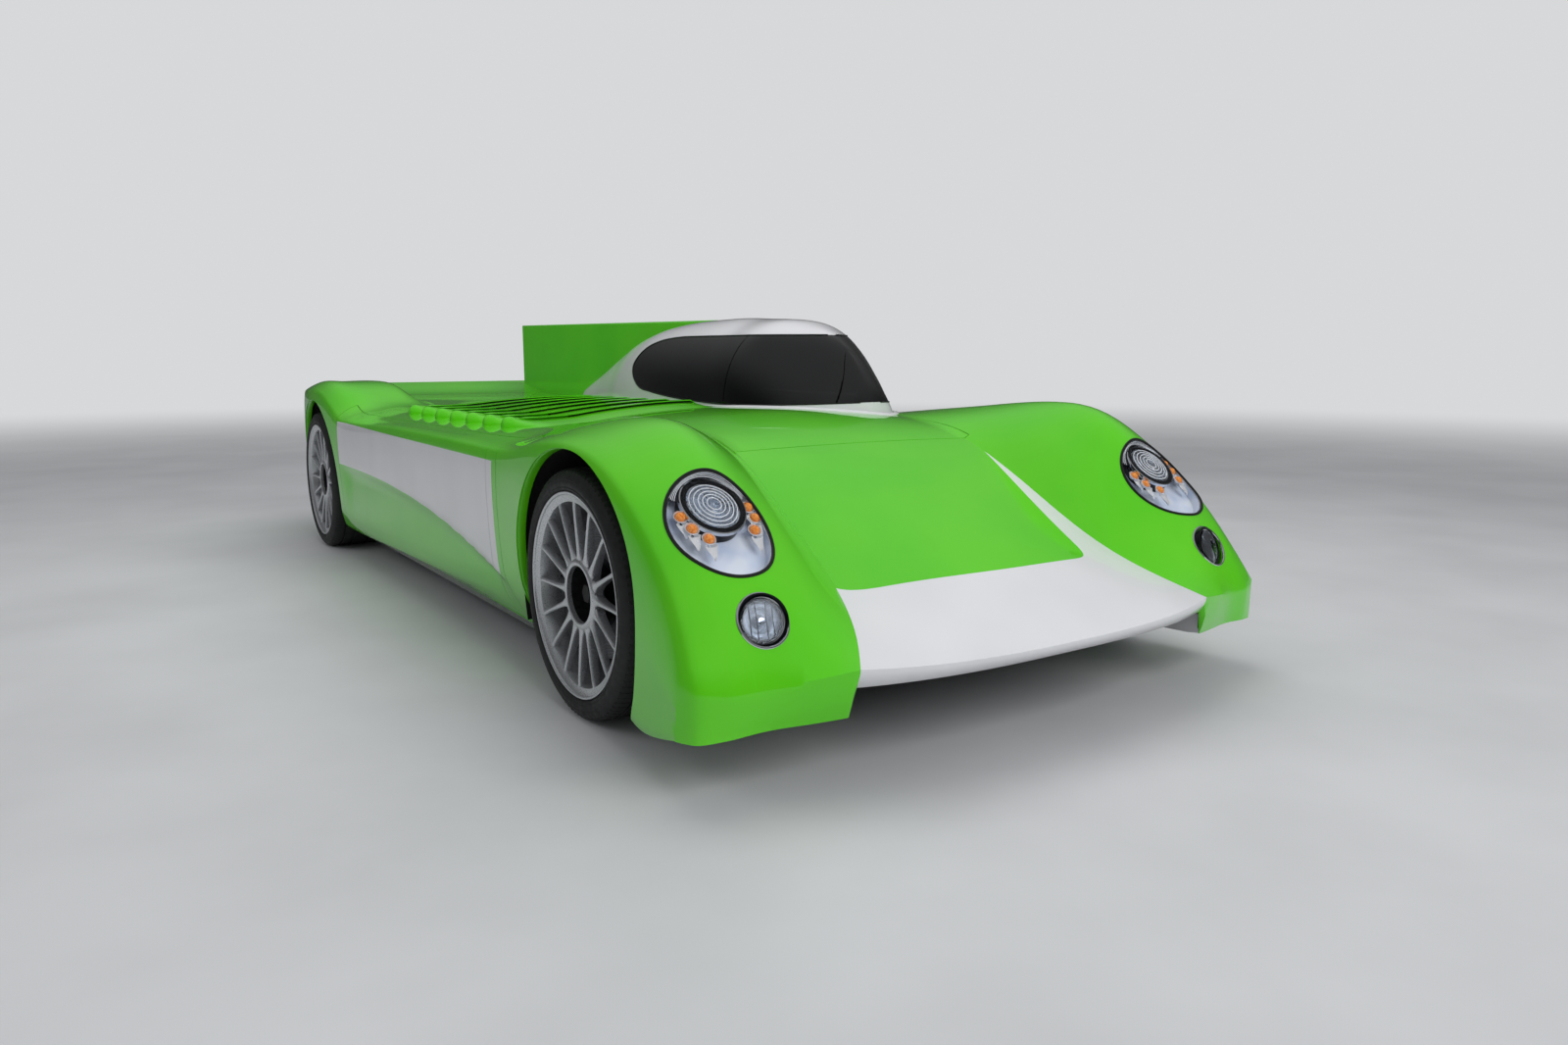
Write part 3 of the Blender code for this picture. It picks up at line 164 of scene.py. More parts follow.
def block(low, high, round_off=0.0):
    """A box between two corners, with its edges rounded."""
    work = bmesh.new()
    bmesh.ops.create_cube(work, size=1.0)
    low, high = Vector(low), Vector(high)
    for v in work.verts:
        v.co = Vector((low[i] + (v.co[i] + 0.5) * (high[i] - low[i]) for i in range(3)))
    if round_off:
        bmesh.ops.bevel(work, geom=work.edges[:] + work.verts[:], offset=round_off, segments=3,
                        profile=0.5, affect="EDGES")
    return taken("block", work)


def prism(outline, axis, low, high):
    """An outline of two coordinates pushed along the third axis (0 x, 1 y, 2 z)."""
    def point(pair, level):
        coordinates = list(pair)
        coordinates.insert(axis, level)
        return coordinates
    return loft("prism", [[point(p, level) for p in outline] for level in (low, high)])


def joined(name, meshes):
    """Several meshes in one."""
    work = bmesh.new()
    for mesh in meshes:
        work.from_mesh(mesh)
    return taken(name, work)


def moved(mesh, matrix):
    """A copy of the mesh at another place."""
    copy = mesh.copy()
    copy.transform(matrix)
    return copy


def worked(thing, helpers):
    """The mesh of an object after its modifiers; the object and its helpers go."""
    bpy.context.view_layer.update()
    graph = bpy.context.evaluated_depsgraph_get()
    made = bpy.data.meshes.new_from_object(thing.evaluated_get(graph))
    for used in [thing] + helpers:
        bpy.data.objects.remove(used, do_unlink=True)
    return soften(made)


def plain(mesh, tools=(), operation="DIFFERENCE", thickness=0.0):
    """The mesh after a wall thickness inward and exact Booleans with the tools."""
    thing = linked("work", mesh)
    if thickness:
        wall = thing.modifiers.new("wall", "SOLIDIFY")
        wall.thickness = thickness
        wall.offset = -1.0
    cutters = [linked("cutter", tool) for tool in tools]
    for cutter in cutters:
        step = thing.modifiers.new("cut", "BOOLEAN")
        step.operation = operation
        step.solver = "EXACT"
        step.object = cutter
    return worked(thing, cutters)


def repeated(name, part, count, turn=(0.0, 0.0, 0.0), shift=(0.0, 0.0, 0.0)):
    """Copies of a part by Geometry Nodes, each turned and shifted one step more than the last."""
    tree = bpy.data.node_groups.new(name, "GeometryNodeTree")
    wanted = {"Count": ("Int", count), "Turn": ("Vector", turn), "Shift": ("Vector", shift)}
    sockets = {label: tree.interface.new_socket(label, in_out="INPUT",
                                                socket_type=f"NodeSocket{kind}").identifier
               for label, (kind, _) in wanted.items()}
    tree.interface.new_socket("Geometry", in_out="OUTPUT", socket_type="NodeSocketGeometry")
    source = linked(name + "_part", part)
    given = add(tree, "NodeGroupInput")
    line = add(tree, "GeometryNodeMeshLine", mode="OFFSET",
               links={"Count": given.outputs["Count"], "Offset": given.outputs["Shift"]})
    index = add(tree, "GeometryNodeInputIndex")
    angle = add(tree, "ShaderNodeVectorMath", operation="SCALE",
                links={"Vector": given.outputs["Turn"], "Scale": index.outputs["Index"]})
    rotation = add(tree, "FunctionNodeEulerToRotation", links={0: angle.outputs["Vector"]})
    shape = add(tree, "GeometryNodeObjectInfo", values={"Object": source})
    placed = add(tree, "GeometryNodeInstanceOnPoints",
                 links={"Points": line.outputs["Mesh"], "Instance": shape.outputs["Geometry"],
                        "Rotation": rotation.outputs[0]})
    real = add(tree, "GeometryNodeRealizeInstances",
               links={"Geometry": placed.outputs["Instances"]})
    coated = add(tree, "GeometryNodeSetMaterial", links={"Geometry": real.outputs["Geometry"]})
    add(tree, "NodeGroupOutput", links={0: coated.outputs["Geometry"]})
    host = linked(name + "_host", bpy.data.meshes.new(name))
    step = host.modifiers.new("repeat", "NODES")
    step.node_group = tree
    for label, (_, value) in wanted.items():
        step[sockets[label]] = value
    return worked(host, [source])


def blend(a, b, leave, arrive, t):
    """A cubic from a to b that leaves and arrives with the given slopes."""
    return (a + t * leave + t * t * (3 * (b - a) - 2 * leave - arrive)
            + t ** 3 * (2 * (a - b) + leave + arrive))


def follow(rows, at):
    """Smooth values along rows of (place, value, ...), level past both ends."""
    places = [row[0] for row in rows]
    if at <= places[0]:
        return list(rows[0][1:])
    if at >= places[-1]:
        return list(rows[-1][1:])
    i = max(k for k in range(len(rows) - 1) if places[k] <= at)
    width = places[i + 1] - places[i]

    def rise(k, column):
        return (rows[k + 1][column] - rows[k][column]) / (places[k + 1] - places[k])

    def slope(k, column):
        if k in (0, len(rows) - 1):
            return rise(min(k, len(rows) - 2), column)
        left, right = rise(k - 1, column), rise(k, column)
        return 0.0 if left * right <= 0 else 2 * left * right / (left + right)

    return [blend(rows[i][c], rows[i + 1][c], slope(i, c) * width, slope(i + 1, c) * width,
                  (at - places[i]) / width) for c in range(1, len(rows[0]))]


# Finishes

finishes = {}


def finish(name, slot, colour, roughness, metallic=0.0, ior=None, **more):
    """A Principled material; returns its tree, its shader and the Object coordinates."""
    material = bpy.data.materials.new(name)
    material.use_nodes = True
    tree = material.node_tree
    shader = tree.nodes["Principled BSDF"]
    shader.inputs["Base Color"].default_value = linear(colour)
    shader.inputs["Roughness"].default_value = roughness
    shader.inputs["Metallic"].default_value = metallic
    if ior:
        shader.inputs["IOR"].default_value = ior
    for key, value in more.items():
        shader.inputs[key.replace("_", " ")].default_value = value
    place = add(tree, "ShaderNodeTexCoord")
    finishes[name] = (material, slot)
    return tree, shader, place.outputs["Object"]


def noise(tree, place, scale, detail):
    """A noise factor; the scale is one over the size in metres."""
    return add(tree, "ShaderNodeTexNoise", values={"Scale": scale, "Detail": detail},
               links={"Vector": place}).outputs["Fac"]


def relief(tree, shader, height, strength, depth_mm, socket="Normal"):
    """Raised detail that follows a factor."""
    made = add(tree, "ShaderNodeBump", values={"Strength": strength, "Distance": depth_mm / 1000},
               links={"Height": height})
    tree.links.new(made.outputs["Normal"], shader.inputs[socket])


def grain(tree, shader, place, size_mm, depth_mm, detail=3.0, stretch=(1.0, 1.0, 1.0)):
    """A fine relief of one size."""
    spread = add(tree, "ShaderNodeMapping", values={"Scale": stretch}, links={"Vector": place})
    factor = noise(tree, spread.outputs["Vector"], 1000 / size_mm, detail)
    relief(tree, shader, factor, 1.0, depth_mm)
    return factor


def tones(tree, shader, factor, dark, light, low=0.35, high=0.65, socket="Base Color"):
    """Two colours by a factor, on the shader or as a socket."""
    span = add(tree, "ShaderNodeMapRange", values={"From Min": low, "From Max": high},
               links={"Value": factor})
    mix = add(tree, "ShaderNodeMix", data_type="RGBA", links={"Factor": span.outputs["Result"]})
    mix.inputs["A"].default_value = linear(dark)
    mix.inputs["B"].default_value = linear(light)
    if socket:
        tree.links.new(mix.outputs["Result"], shader.inputs[socket])
    return mix.outputs["Result"]


def gloss(tree, shader, factor, low_value, high_value):
    """Roughness between two values by a factor."""
    span = add(tree, "ShaderNodeMapRange", links={"Value": factor},
               values={"From Min": 0.3, "From Max": 0.7, "To Min": low_value, "To Max": high_value})
    tree.links.new(span.outputs["Result"], shader.inputs["Roughness"])


def fine_finish(name, slot, colour, roughness, metallic=0.0, fine=(), shades=(), shine=(), **more):
    """A finish with one fine relief (size and depth in mm) that its tones or its gloss follow."""
    tree, shader, place = finish(name, slot, colour, roughness, metallic, **more)
    factor = grain(tree, shader, place, *fine)
    if shades:
        tones(tree, shader, factor, *shades)
    if shine:
        gloss(tree, shader, factor, *shine)


def curve(tree, place, form):
    """A mask from math steps (name, operation, a, b, c) on the coordinates x, y and z."""
    split = add(tree, "ShaderNodeSeparateXYZ", links={"Vector": place})
    values = {axis.lower(): split.outputs[axis] for axis in "XYZ"}
    for name, operation, *given in form:
        node = add(tree, "ShaderNodeMath", operation=operation)
        for i, item in enumerate(given):
            if isinstance(item, str):
                tree.links.new(values[item], node.inputs[i])
            else:
                node.inputs[i].default_value = item
        values[name] = node.outputs["Value"]
    return values["mask"]
green_dark, green_light = "#53c408", "#5bc90c"
white_dark, white_light = "#d7d7da", "#dcdcdf"
edge_sharpness = 900.0

# The hood's green field: lower edge and its bow, far side edge, near side edge, round corners
field_edge_y, field_bow, field_middle_x = -2.075, 0.17, 0.05
field_side_x, field_side_slope, field_side_y = 0.345, 0.1885, -2.05
field_near_x = -0.515
field_round, field_far_round = 0.16, 0.072
# The white flank: top edge and its tilt, front edge, and the swept lower edge, a fold of the panel
flank_top_z, flank_tilt, flank_front_y = 0.627, 0.004, -0.913
sweep_z, sweep_y, sweep_rate = 0.442, 1.075, 0.0208


def sweep_height(y):
    """Height of the swept fold in the flank."""
    return sweep_z - sweep_rate * max(sweep_y - y, 0.0) ** 3


def sharp(step):
    """Steps that turn a distance into a mask with a crisp edge."""
    return [("out", "MULTIPLY_ADD", step, edge_sharpness, 0.5), ("top", "MINIMUM", "out", 1.0),
            ("mask", "MAXIMUM", "top", 0.0)]


def hood_field(tree, place):
    """One outside the green field of the hood, nought inside it."""
    form = [("off", "SUBTRACT", "x", field_middle_x), ("sq", "MULTIPLY", "off", "off"),
            ("edge", "MULTIPLY_ADD", "sq", field_bow, field_edge_y),
            ("low", "SUBTRACT", "edge", "y"), ("run", "SUBTRACT", "y", field_side_y),
            ("side", "MULTIPLY_ADD", "run", field_side_slope, field_side_x),
            ("right", "SUBTRACT", "x", "side"), ("left", "SUBTRACT", field_near_x, "x"),
            ("both", "SMOOTH_MAX", "low", "left", field_round),
            ("all", "SMOOTH_MAX", "both", "right", field_far_round)]
    return curve(tree, place, form + sharp("all"))


def flank_field(tree, place):
    """One inside the white flank stripe."""
    form = [("run", "SUBTRACT", sweep_y, "y"), ("run2", "MAXIMUM", "run", 0.0),
            ("cube", "POWER", "run2", 3.0), ("drop", "MULTIPLY_ADD", "cube", -sweep_rate, sweep_z),
            ("above", "SUBTRACT", "z", "drop"),
            ("tilt", "MULTIPLY_ADD", "y", flank_tilt, flank_top_z),
            ("below", "SUBTRACT", "tilt", "z"), ("behind", "SUBTRACT", "y", flank_front_y),
            ("one", "MINIMUM", "above", "below"), ("two", "MINIMUM", "one", "behind")]
    return curve(tree, place, form + sharp("two"))


def lacquer(name, slot, dark, light, field=None):
    """Two-pack enamel under clear lacquer: deep colour, wet gloss and a faint orange peel."""
    tree, shader, place = finish(name, slot, light, 0.4, ior=1.5, Specular_IOR_Level=0.2,
                                 Coat_Weight=1.0, Coat_Roughness=0.03, Coat_IOR=1.45)
    # Pooling of the sprayed coats, about 300 mm across
    pooling = noise(tree, place, 3.3, 2.0)
    base = tones(tree, shader, pooling, dark, light)
    if field:
        white = tones(tree, shader, pooling, white_dark, white_light, socket=None)
        both = add(tree, "ShaderNodeMix", data_type="RGBA",
                   links={"Factor": field(tree, place), "A": base, "B": white})
        tree.links.new(both.outputs["Result"], shader.inputs["Base Color"])
    # Orange peel of 8 mm ripples
    relief(tree, shader, noise(tree, place, 125.0, 1.0), 0.12, 0.2, "Coat Normal")


def make_paints():
    """The two enamels, alone and together on the panels that carry both."""
    lacquer("green_enamel_lacquered", "green_paint", green_dark, green_light)
    lacquer("white_enamel_lacquered", "white_paint", white_dark, white_light)
    lacquer("hood_enamel_two_colour", "green_paint", green_dark, green_light, hood_field)
    lacquer("flank_enamel_two_colour", "green_paint", green_dark, green_light, flank_field)


def make_plain_finishes():
    """The finishes of one colour range and one fine relief."""
    # Smoked polycarbonate glazing: nearly black, with a hard coat that mirrors the room
    fine_finish("smoked_polycarbonate_glazing", "tinted_glass", "#08090a", 0.04, ior=1.58,
                Alpha=0.93, Coat_Weight=0.25, Coat_Roughness=0.02,
                fine=(260, 0.15, 1.0), shine=(0.03, 0.09))
    # Black edge print and gloss black mouldings round the glazing
    fine_finish("black_ceramic_edge_print", "black_grip", "#0a0a0b", 0.16, ior=1.5,
                fine=(40, 0.05), shine=(0.12, 0.22))
    # Extruded rubber seal: soft black with a dull bloom
    fine_finish("extruded_rubber_seal", "rubber", "#101011", 0.55, ior=1.52,
                fine=(6, 0.2), shades=("#0d0d0e", "#1a1a1b"))
    # Moulded black polypropylene of the wheel housings: matt and stippled; the same black fills the
    # louvre mouths as painted shade
    fine_finish("moulded_black_liner", "dark_composite", "#0b0b0c", 0.8, ior=1.49,
                fine=(9, 0.5), shades=("#070707", "#131312"))
    # Cast wheel in silver lacquer: satin metal with a fine flake of 2 mm, drawn coarse
    fine_finish("cast_alloy_silver_lacquer", "silver_alloy", "#c4c6c9", 0.3, 0.8, Coat_Weight=0.35,
                Coat_Roughness=0.08, fine=(2.2, 0.02, 2.0), shades=("#b6b8bb", "#d2d4d7"),
                shine=(0.26, 0.36))
    # Hard-anodised aluminium of calipers, studs and column: dark, even, faint machining
    fine_finish("anodised_dark_aluminium", "steel", "#3a3b3e", 0.42, 0.8,
                fine=(5, 0.06, 3.0, (1.0, 1.0, 6.0)), shades=("#2c2d30", "#47494c"))
    # Black oxide steel and cast dark parts behind the wheels
    fine_finish("black_oxide_steel", "steel", "#141415", 0.5, 0.6,
                fine=(12, 0.1), shades=("#0e0e0f", "#1f2022"))
    # Vacuum-plated chrome of lamp rims and rings: mirror bright with a faint haze
    fine_finish("plated_reflector", "lamp_lens", "#d7dade", 0.07, 1.0,
                fine=(14, 0.02), shine=(0.05, 0.12))
    # Reflectors of headlamps, small lights and fog lamps: bright metal that scatters more
    fine_finish("bright_reflector_petal", "lamp_lens", "#f4f6fa", 0.2, 0.4,
                fine=(30, 0.05), shine=(0.14, 0.3))
    # Pearl lamp bowl, gloss moulded, with a cold blue cast
    fine_finish("gloss_pale_lamp_bowl", "lamp_lens", "#c3cfe2", 0.16, ior=1.5, Coat_Weight=1.0,
                fine=(60, 0.05, 1.0), shades=("#cfddf6", "#eaf2ff"))
    # Dark ribbed shroud over the lens: satin graphite plating
    fine_finish("graphite_plated_shroud", "lamp_lens", "#2b2d33", 0.3, 0.7,
                fine=(10, 0.04), shades=("#212328", "#383b42"))
    # Gloss black plastic of lens rings, fog lamp bezels and shield bars
    fine_finish("gloss_black_lamp_ring", "lamp_lens", "#0b0c10", 0.12, ior=1.5,
                Specular_IOR_Level=0.25, fine=(18, 0.03), shine=(0.08, 0.2))
    # Clear pressed lens, bent little so that the reflector shows through its moulded rings
    fine_finish("clear_pressed_lens", "lamp_lens", "#f2f6fb", 0.03, ior=1.25,
                Transmission_Weight=1.0, fine=(9, 0.04, 1.0), shine=(0.02, 0.06))
    # Ridges on the lens and the shroud, near white: a painted highlight that draws the light they
    # catch as pale lines
    fine_finish("pale_ridge_painted_highlight", "lamp_lens", "#cdd6e2", 0.3, ior=1.5,
                fine=(3, 0.05), shades=("#dde5f0", "#fafcff"))
    # Clear hard-coated cover over the whole lamp: almost nothing but its coat shows
    fine_finish("clear_polycarbonate_cover", "lamp_lens", "#0b0d10", 0.02, ior=1.58, Alpha=0.05,
                Coat_Weight=1.0, Coat_Roughness=0.01, fine=(120, 0.02, 1.0), shine=(0.01, 0.03))
    # Amber acrylic domes: saturated orange, lighter in patches, under a clear gloss
    fine_finish("amber_acrylic_dome", "lamp_lens", "#f2761c", 0.12, ior=1.49, Coat_Weight=1.0,
                Coat_Roughness=0.03, fine=(5, 0.1), shades=("#e87a1c", "#ffac55"))
    # Suede grip: short nap, no shine
    fine_finish("suede_grip", "black_grip", "#161617", 0.95, ior=1.45, Sheen_Weight=0.5,
                fine=(3, 0.3, 5.0), shades=("#111112", "#222224"))
    # Dark display glass on the dash
    fine_finish("display_glass", "black_grip", "#05070a", 0.06, ior=1.5,
                fine=(90, 0.02), shine=(0.05, 0.12))


def make_patterned_finishes():
    """The finishes with a weave, ribs, rings or prisms."""
    # Carbon twill in epoxy: 3 mm tows drawn at 6 mm so that they show
    tree, shader, place = finish("carbon_twill_laminate", "dark_composite", "#141517", 0.32,
                                 ior=1.55, Coat_Weight=0.5, Coat_Roughness=0.12)
    slanted = add(tree, "ShaderNodeMapping", values={"Rotation": (0.6, 0.5, math.radians(45))},
                  links={"Vector": place})
    tows = add(tree, "ShaderNodeTexChecker", values={"Scale": 1000 / 6.0},
               links={"Vector": slanted.outputs["Vector"]})
    tones(tree, shader, tows.outputs["Fac"], "#0e0f10", "#24262a", 0.0, 1.0)
    gloss(tree, shader, tows.outputs["Fac"], 0.26, 0.42)
    # Turned cast-iron disc: rings from the tool and a blue-grey heat tint
    tree, shader, place = finish("turned_iron_disc", "steel", "#6d6e70", 0.38, 0.9)
    wrap = add(tree, "ShaderNodeTexCoord").outputs["UV"]
    rings = add(tree, "ShaderNodeMapping", values={"Scale": (2.0, 60.0, 1.0)},
                links={"Vector": wrap})
    cut = noise(tree, rings.outputs["Vector"], 4.0, 4.0)
    tones(tree, shader, cut, "#4c4e52", "#87888b")
    gloss(tree, shader, cut, 0.28, 0.5)
    # Racing tyre rubber: matt black, scuffed grey in patches, with fine ribs round the turn
    tree, shader, place = finish("moulded_tyre_rubber", "rubber", "#131314", 0.62, ior=1.52)
    wrap = add(tree, "ShaderNodeTexCoord").outputs["UV"]
    scuff = noise(tree, place, 60.0, 5.0)
    tones(tree, shader, scuff, "#0d0d0e", "#1e1e1f")
    gloss(tree, shader, scuff, 0.5, 0.75)
    teeth = add(tree, "ShaderNodeTexWave", values={"Scale": 22.0, "Distortion": 0.0},
                links={"Vector": wrap}, bands_direction="X")
    relief(tree, shader, teeth.outputs["Fac"], 0.25, 1.0)
    # Red acrylic tail lens with moulded prisms of 7 mm
    tree, shader, place = finish("red_acrylic_lens", "tail_lens", "#a30d12", 0.12, ior=1.49,
                                 Transmission_Weight=0.25)
    prisms = add(tree, "ShaderNodeTexVoronoi", values={"Scale": 1000 / 7.0},
                 links={"Vector": place})
    tones(tree, shader, prisms.outputs["Distance"], "#c9191d", "#7d080c", 0.0, 0.9)
    # Flame-resistant knitted seat cloth: 2.5 mm ribs drawn at 5 mm, matt with soft sheen
    tree, shader, place = finish("ribbed_seat_cloth", "seat_cloth", "#1b1c1f", 0.9, ior=1.45,
                                 Sheen_Weight=0.35, Sheen_Roughness=0.4)
    ribs = add(tree, "ShaderNodeTexWave", links={"Vector": place}, bands_direction="X",
               values={"Scale": 1000 / 5.0 / 6.28, "Distortion": 1.5, "Detail": 2.0})
    tones(tree, shader, ribs.outputs["Fac"], "#141518", "#2b2c31", 0.0, 1.0)
    relief(tree, shader, ribs.outputs["Fac"], 0.5, 0.8)
    # Woven harness webbing, 1.5 mm picks drawn at 4 mm
    tree, shader, place = finish("woven_harness_webbing", "seat_cloth", "#262e9a", 0.8, ior=1.45)
    picks = add(tree, "ShaderNodeTexChecker", values={"Scale": 1000 / 4.0},
                links={"Vector": place})
    tones(tree, shader, picks.outputs["Fac"], "#1b2277", "#333cb4", 0.0, 1.0)


def piece(name, mesh, look, body="root", stands_for=()):
    """A finished piece of the car: its mesh, its finish and the body it moves with."""
    material, slot = finishes[look]
    mesh.materials.clear()
    mesh.materials.append(material)
    thing = linked(name, mesh)
    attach(thing, body)
    if stands_for:
        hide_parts(*([stands_for] if isinstance(stands_for, str) else stands_for))
    return thing


surfaces = {}


def skin_hit(start, way):
    """Where a ray meets the body's skin, or None."""
    return surfaces["skin"].ray_cast(start, way)[0]


def deck_z(x, y):
    """Height of the body's skin at a plan position."""
    hit = skin_hit(Vector((x, y, ray_top_z)), Vector((0, 0, -1)))
    return hit.z if hit else deck_level


# Body skin

body_length, body_half_width, crest_height = 4.65, 0.965, 0.78
front_axle_y, rear_axle_y = -1.481, 1.565
tyre_radius = 0.326
sill_share = 0.16064
guide_shares = [
    # Centre line
    [(-0.5, 0, 0.327), (-0.493, 0, 0.355), (-0.473, 0, 0.417), (-0.43, 0, 0.545),
     (-0.387, 0, 0.668), (-0.344, 0, 0.79), (-0.315, 0, 0.866), (-0.258, 0, 0.938),
     (-0.215, 0, 0.958), (-0.108, 0, 0.948), (0.172, 0, 0.917), (0.258, 0, 0.9),
     (0.409, 0, 0.905), (0.452, 0, 0.93), (0.484, 0, 0.972), (0.5, 0, 0.985)],
    # Crease between the hood and the fender
    [(-0.4845, 0.632, 0.343), (-0.473, 0.585, 0.38), (-0.452, 0.535, 0.43),
     (-0.43, 0.5, 0.492), (-0.409, 0.481, 0.56), (-0.387, 0.475, 0.632), (-0.366, 0.468, 0.707),
     (-0.344, 0.46, 0.775), (-0.323, 0.451, 0.841), (-0.312, 0.444, 0.868), (-0.28, 0.45, 0.905),
     (-0.24, 0.48, 0.92), (-0.2, 0.5, 0.918), (-0.108, 0.52, 0.897), (0.215, 0.52, 0.888),
     (0.337, 0.5, 0.9), (0.409, 0.5, 0.908), (0.452, 0.5, 0.933), (0.484, 0.5, 0.974),
     (0.5, 0.5, 0.985)],
    # Middle of the fender's inner slope
    [(-0.48, 0.722, 0.331), (-0.473, 0.705, 0.395), (-0.452, 0.68, 0.51),
     (-0.43, 0.655, 0.62), (-0.409, 0.635, 0.725), (-0.387, 0.615, 0.81), (-0.366, 0.6, 0.873),
     (-0.344, 0.59, 0.917), (-0.323, 0.59, 0.938), (-0.301, 0.595, 0.944), (-0.258, 0.6, 0.94),
     (-0.215, 0.62, 0.925), (-0.108, 0.65, 0.89), (0.215, 0.65, 0.885), (0.25, 0.635, 0.9),
     (0.275, 0.618, 0.945), (0.301, 0.606, 0.992), (0.337, 0.604, 1.012), (0.409, 0.608, 0.995),
     (0.452, 0.618, 0.975), (0.484, 0.62, 0.976), (0.5, 0.62, 0.985)],
    # Fender crest
    [(-0.4742, 0.829, 0.321), (-0.47, 0.815, 0.4), (-0.4645, 0.808, 0.49),
     (-0.445, 0.803, 0.613), (-0.4245, 0.798, 0.735), (-0.398, 0.785, 0.885),
     (-0.376, 0.775, 0.968), (-0.355, 0.77, 1.0), (-0.323, 0.77, 0.996), (-0.267, 0.77, 0.962),
     (-0.215, 0.775, 0.93), (-0.172, 0.785, 0.903), (-0.108, 0.79, 0.884), (0.215, 0.8, 0.876),
     (0.24, 0.81, 0.905), (0.27, 0.82, 0.98), (0.303, 0.83, 1.025), (0.344, 0.83, 1.025),
     (0.387, 0.82, 1.005), (0.43, 0.8, 0.99), (0.473, 0.76, 0.985), (0.5, 0.74, 0.985)],
    # Shoulder
    [(-0.4716, 0.933, 0.323), (-0.4645, 0.928, 0.425), (-0.455, 0.922, 0.515),
     (-0.445, 0.918, 0.59), (-0.4245, 0.912, 0.705), (-0.413, 0.912, 0.758),
     (-0.387, 0.915, 0.865), (-0.366, 0.917, 0.928), (-0.344, 0.917, 0.951), (-0.312, 0.917, 0.95),
     (-0.267, 0.912, 0.925), (-0.228, 0.902, 0.885), (-0.204, 0.896, 0.869), (-0.108, 0.891, 0.866),
     (0.172, 0.891, 0.853), (0.226, 0.891, 0.848), (0.247, 0.902, 0.895), (0.269, 0.912, 0.965),
     (0.303, 0.922, 1.025), (0.344, 0.914, 1.025), (0.387, 0.902, 1.005), (0.43, 0.881, 0.987),
     (0.473, 0.829, 0.98), (0.5, 0.798, 0.98)],
    # Top edge of the side
    [(-0.4656, 0.997, 0.336), (-0.46, 0.99, 0.395), (-0.45, 0.98, 0.48),
     (-0.44, 0.974, 0.552), (-0.43, 0.971, 0.612), (-0.412, 0.972, 0.702),
     (-0.394, 0.976, 0.79), (-0.37, 0.981, 0.868), (-0.344, 0.984, 0.91), (-0.318, 0.986, 0.92),
     (-0.29, 0.984, 0.912), (-0.258, 0.976, 0.88), (-0.228, 0.966, 0.848), (-0.204, 0.959, 0.842),
     (-0.108, 0.959, 0.848), (0.043, 0.959, 0.842), (0.194, 0.959, 0.812), (0.24, 0.959, 0.812),
     (0.258, 0.964, 0.87), (0.28, 0.969, 0.93), (0.303, 0.974, 0.968), (0.337, 0.974, 0.98),
     (0.376, 0.964, 0.968), (0.42, 0.938, 0.955), (0.473, 0.86, 0.955), (0.5, 0.819, 0.955)],
    # Widest line of the side
    [(-0.456, 1.0197, 0.301), (-0.44, 1.015, 0.32), (-0.42, 1.004, 0.38),
     (-0.405, 0.998, 0.45), (-0.366, 0.994, 0.54), (-0.318, 0.998, 0.57), (-0.258, 0.988, 0.55),
     (-0.215, 0.969, 0.54), (-0.108, 0.964, 0.525), (0.108, 0.964, 0.513), (0.237, 0.966, 0.513),
     (0.28, 0.976, 0.55), (0.337, 0.982, 0.565), (0.387, 0.972, 0.565), (0.43, 0.938, 0.565),
     (0.473, 0.86, 0.58), (0.5, 0.829, 0.59)],
    # Start of the tuck under
    [(-0.4548, 1.0205, 0.244), (-0.43, 1.01, 0.23), (-0.405, 0.997, 0.225),
     (-0.366, 0.985, 0.24), (-0.318, 0.99, 0.3), (-0.23, 0.958, 0.372), (-0.108, 0.95, 0.32),
     (0.065, 0.95, 0.28), (0.258, 0.95, 0.256), (0.337, 0.966, 0.27), (0.43, 0.912, 0.346),
     (0.5, 0.808, 0.423)],
    # Bottom edge
    [(-0.4538, 1.018, 0.183), (-0.443, 1.015, 0.165), (-0.425, 1.003, 0.138),
     (-0.405, 0.99, 0.118), (-0.366, 0.965, 0.15), (-0.318, 0.965, 0.2), (-0.23, 0.935, 0.292),
     (-0.105, 0.92, 0.237), (0.065, 0.92, 0.199), (0.258, 0.92, 0.172), (0.337, 0.93, 0.18),
     (0.43, 0.88, 0.256), (0.5, 0.78, 0.346)],
    # Inner edge of the tuck under
    [(-0.4516, 0.99, 0.172), (-0.44, 0.985, 0.152), (-0.42, 0.965, 0.125),
     (-0.405, 0.95, 0.11), (-0.366, 0.93, 0.14), (-0.318, 0.92, 0.165),
     (-0.24, 0.87, sill_share), (-0.105, 0.865, sill_share), (0.065, 0.865, sill_share),
     (0.262, 0.865, sill_share), (0.337, 0.88, 0.18), (0.43, 0.84, 0.23),
     (0.5, 0.75, 0.32)],
]
chin_shares = [(0.0, 0.284), (0.632, 0.284), (0.645, 0.2), (0.9, 0.193), (1.0, 0.186),
               (1.03, 0.183)]
points_between = (12, 7, 9, 8, 9, 10, 7, 5, 3)
crease_column = points_between[0]
station_step = 0.0068
fan_end_share = -0.344
skin_wall = 0.007
seam_width = 0.0028
fold_depth = 0.02
# The scoop under the sweep: its foot, how deep its lip is, and where it fades out along the car
fold_low_z, fold_lip, fold_front, fold_rear = 0.17, 0.16, (-0.985, -0.8), (0.95, 1.12)
flank_inner_x = 0.8
nose_lip = 0.025
ray_top_z, deck_level = 1.2, 0.69

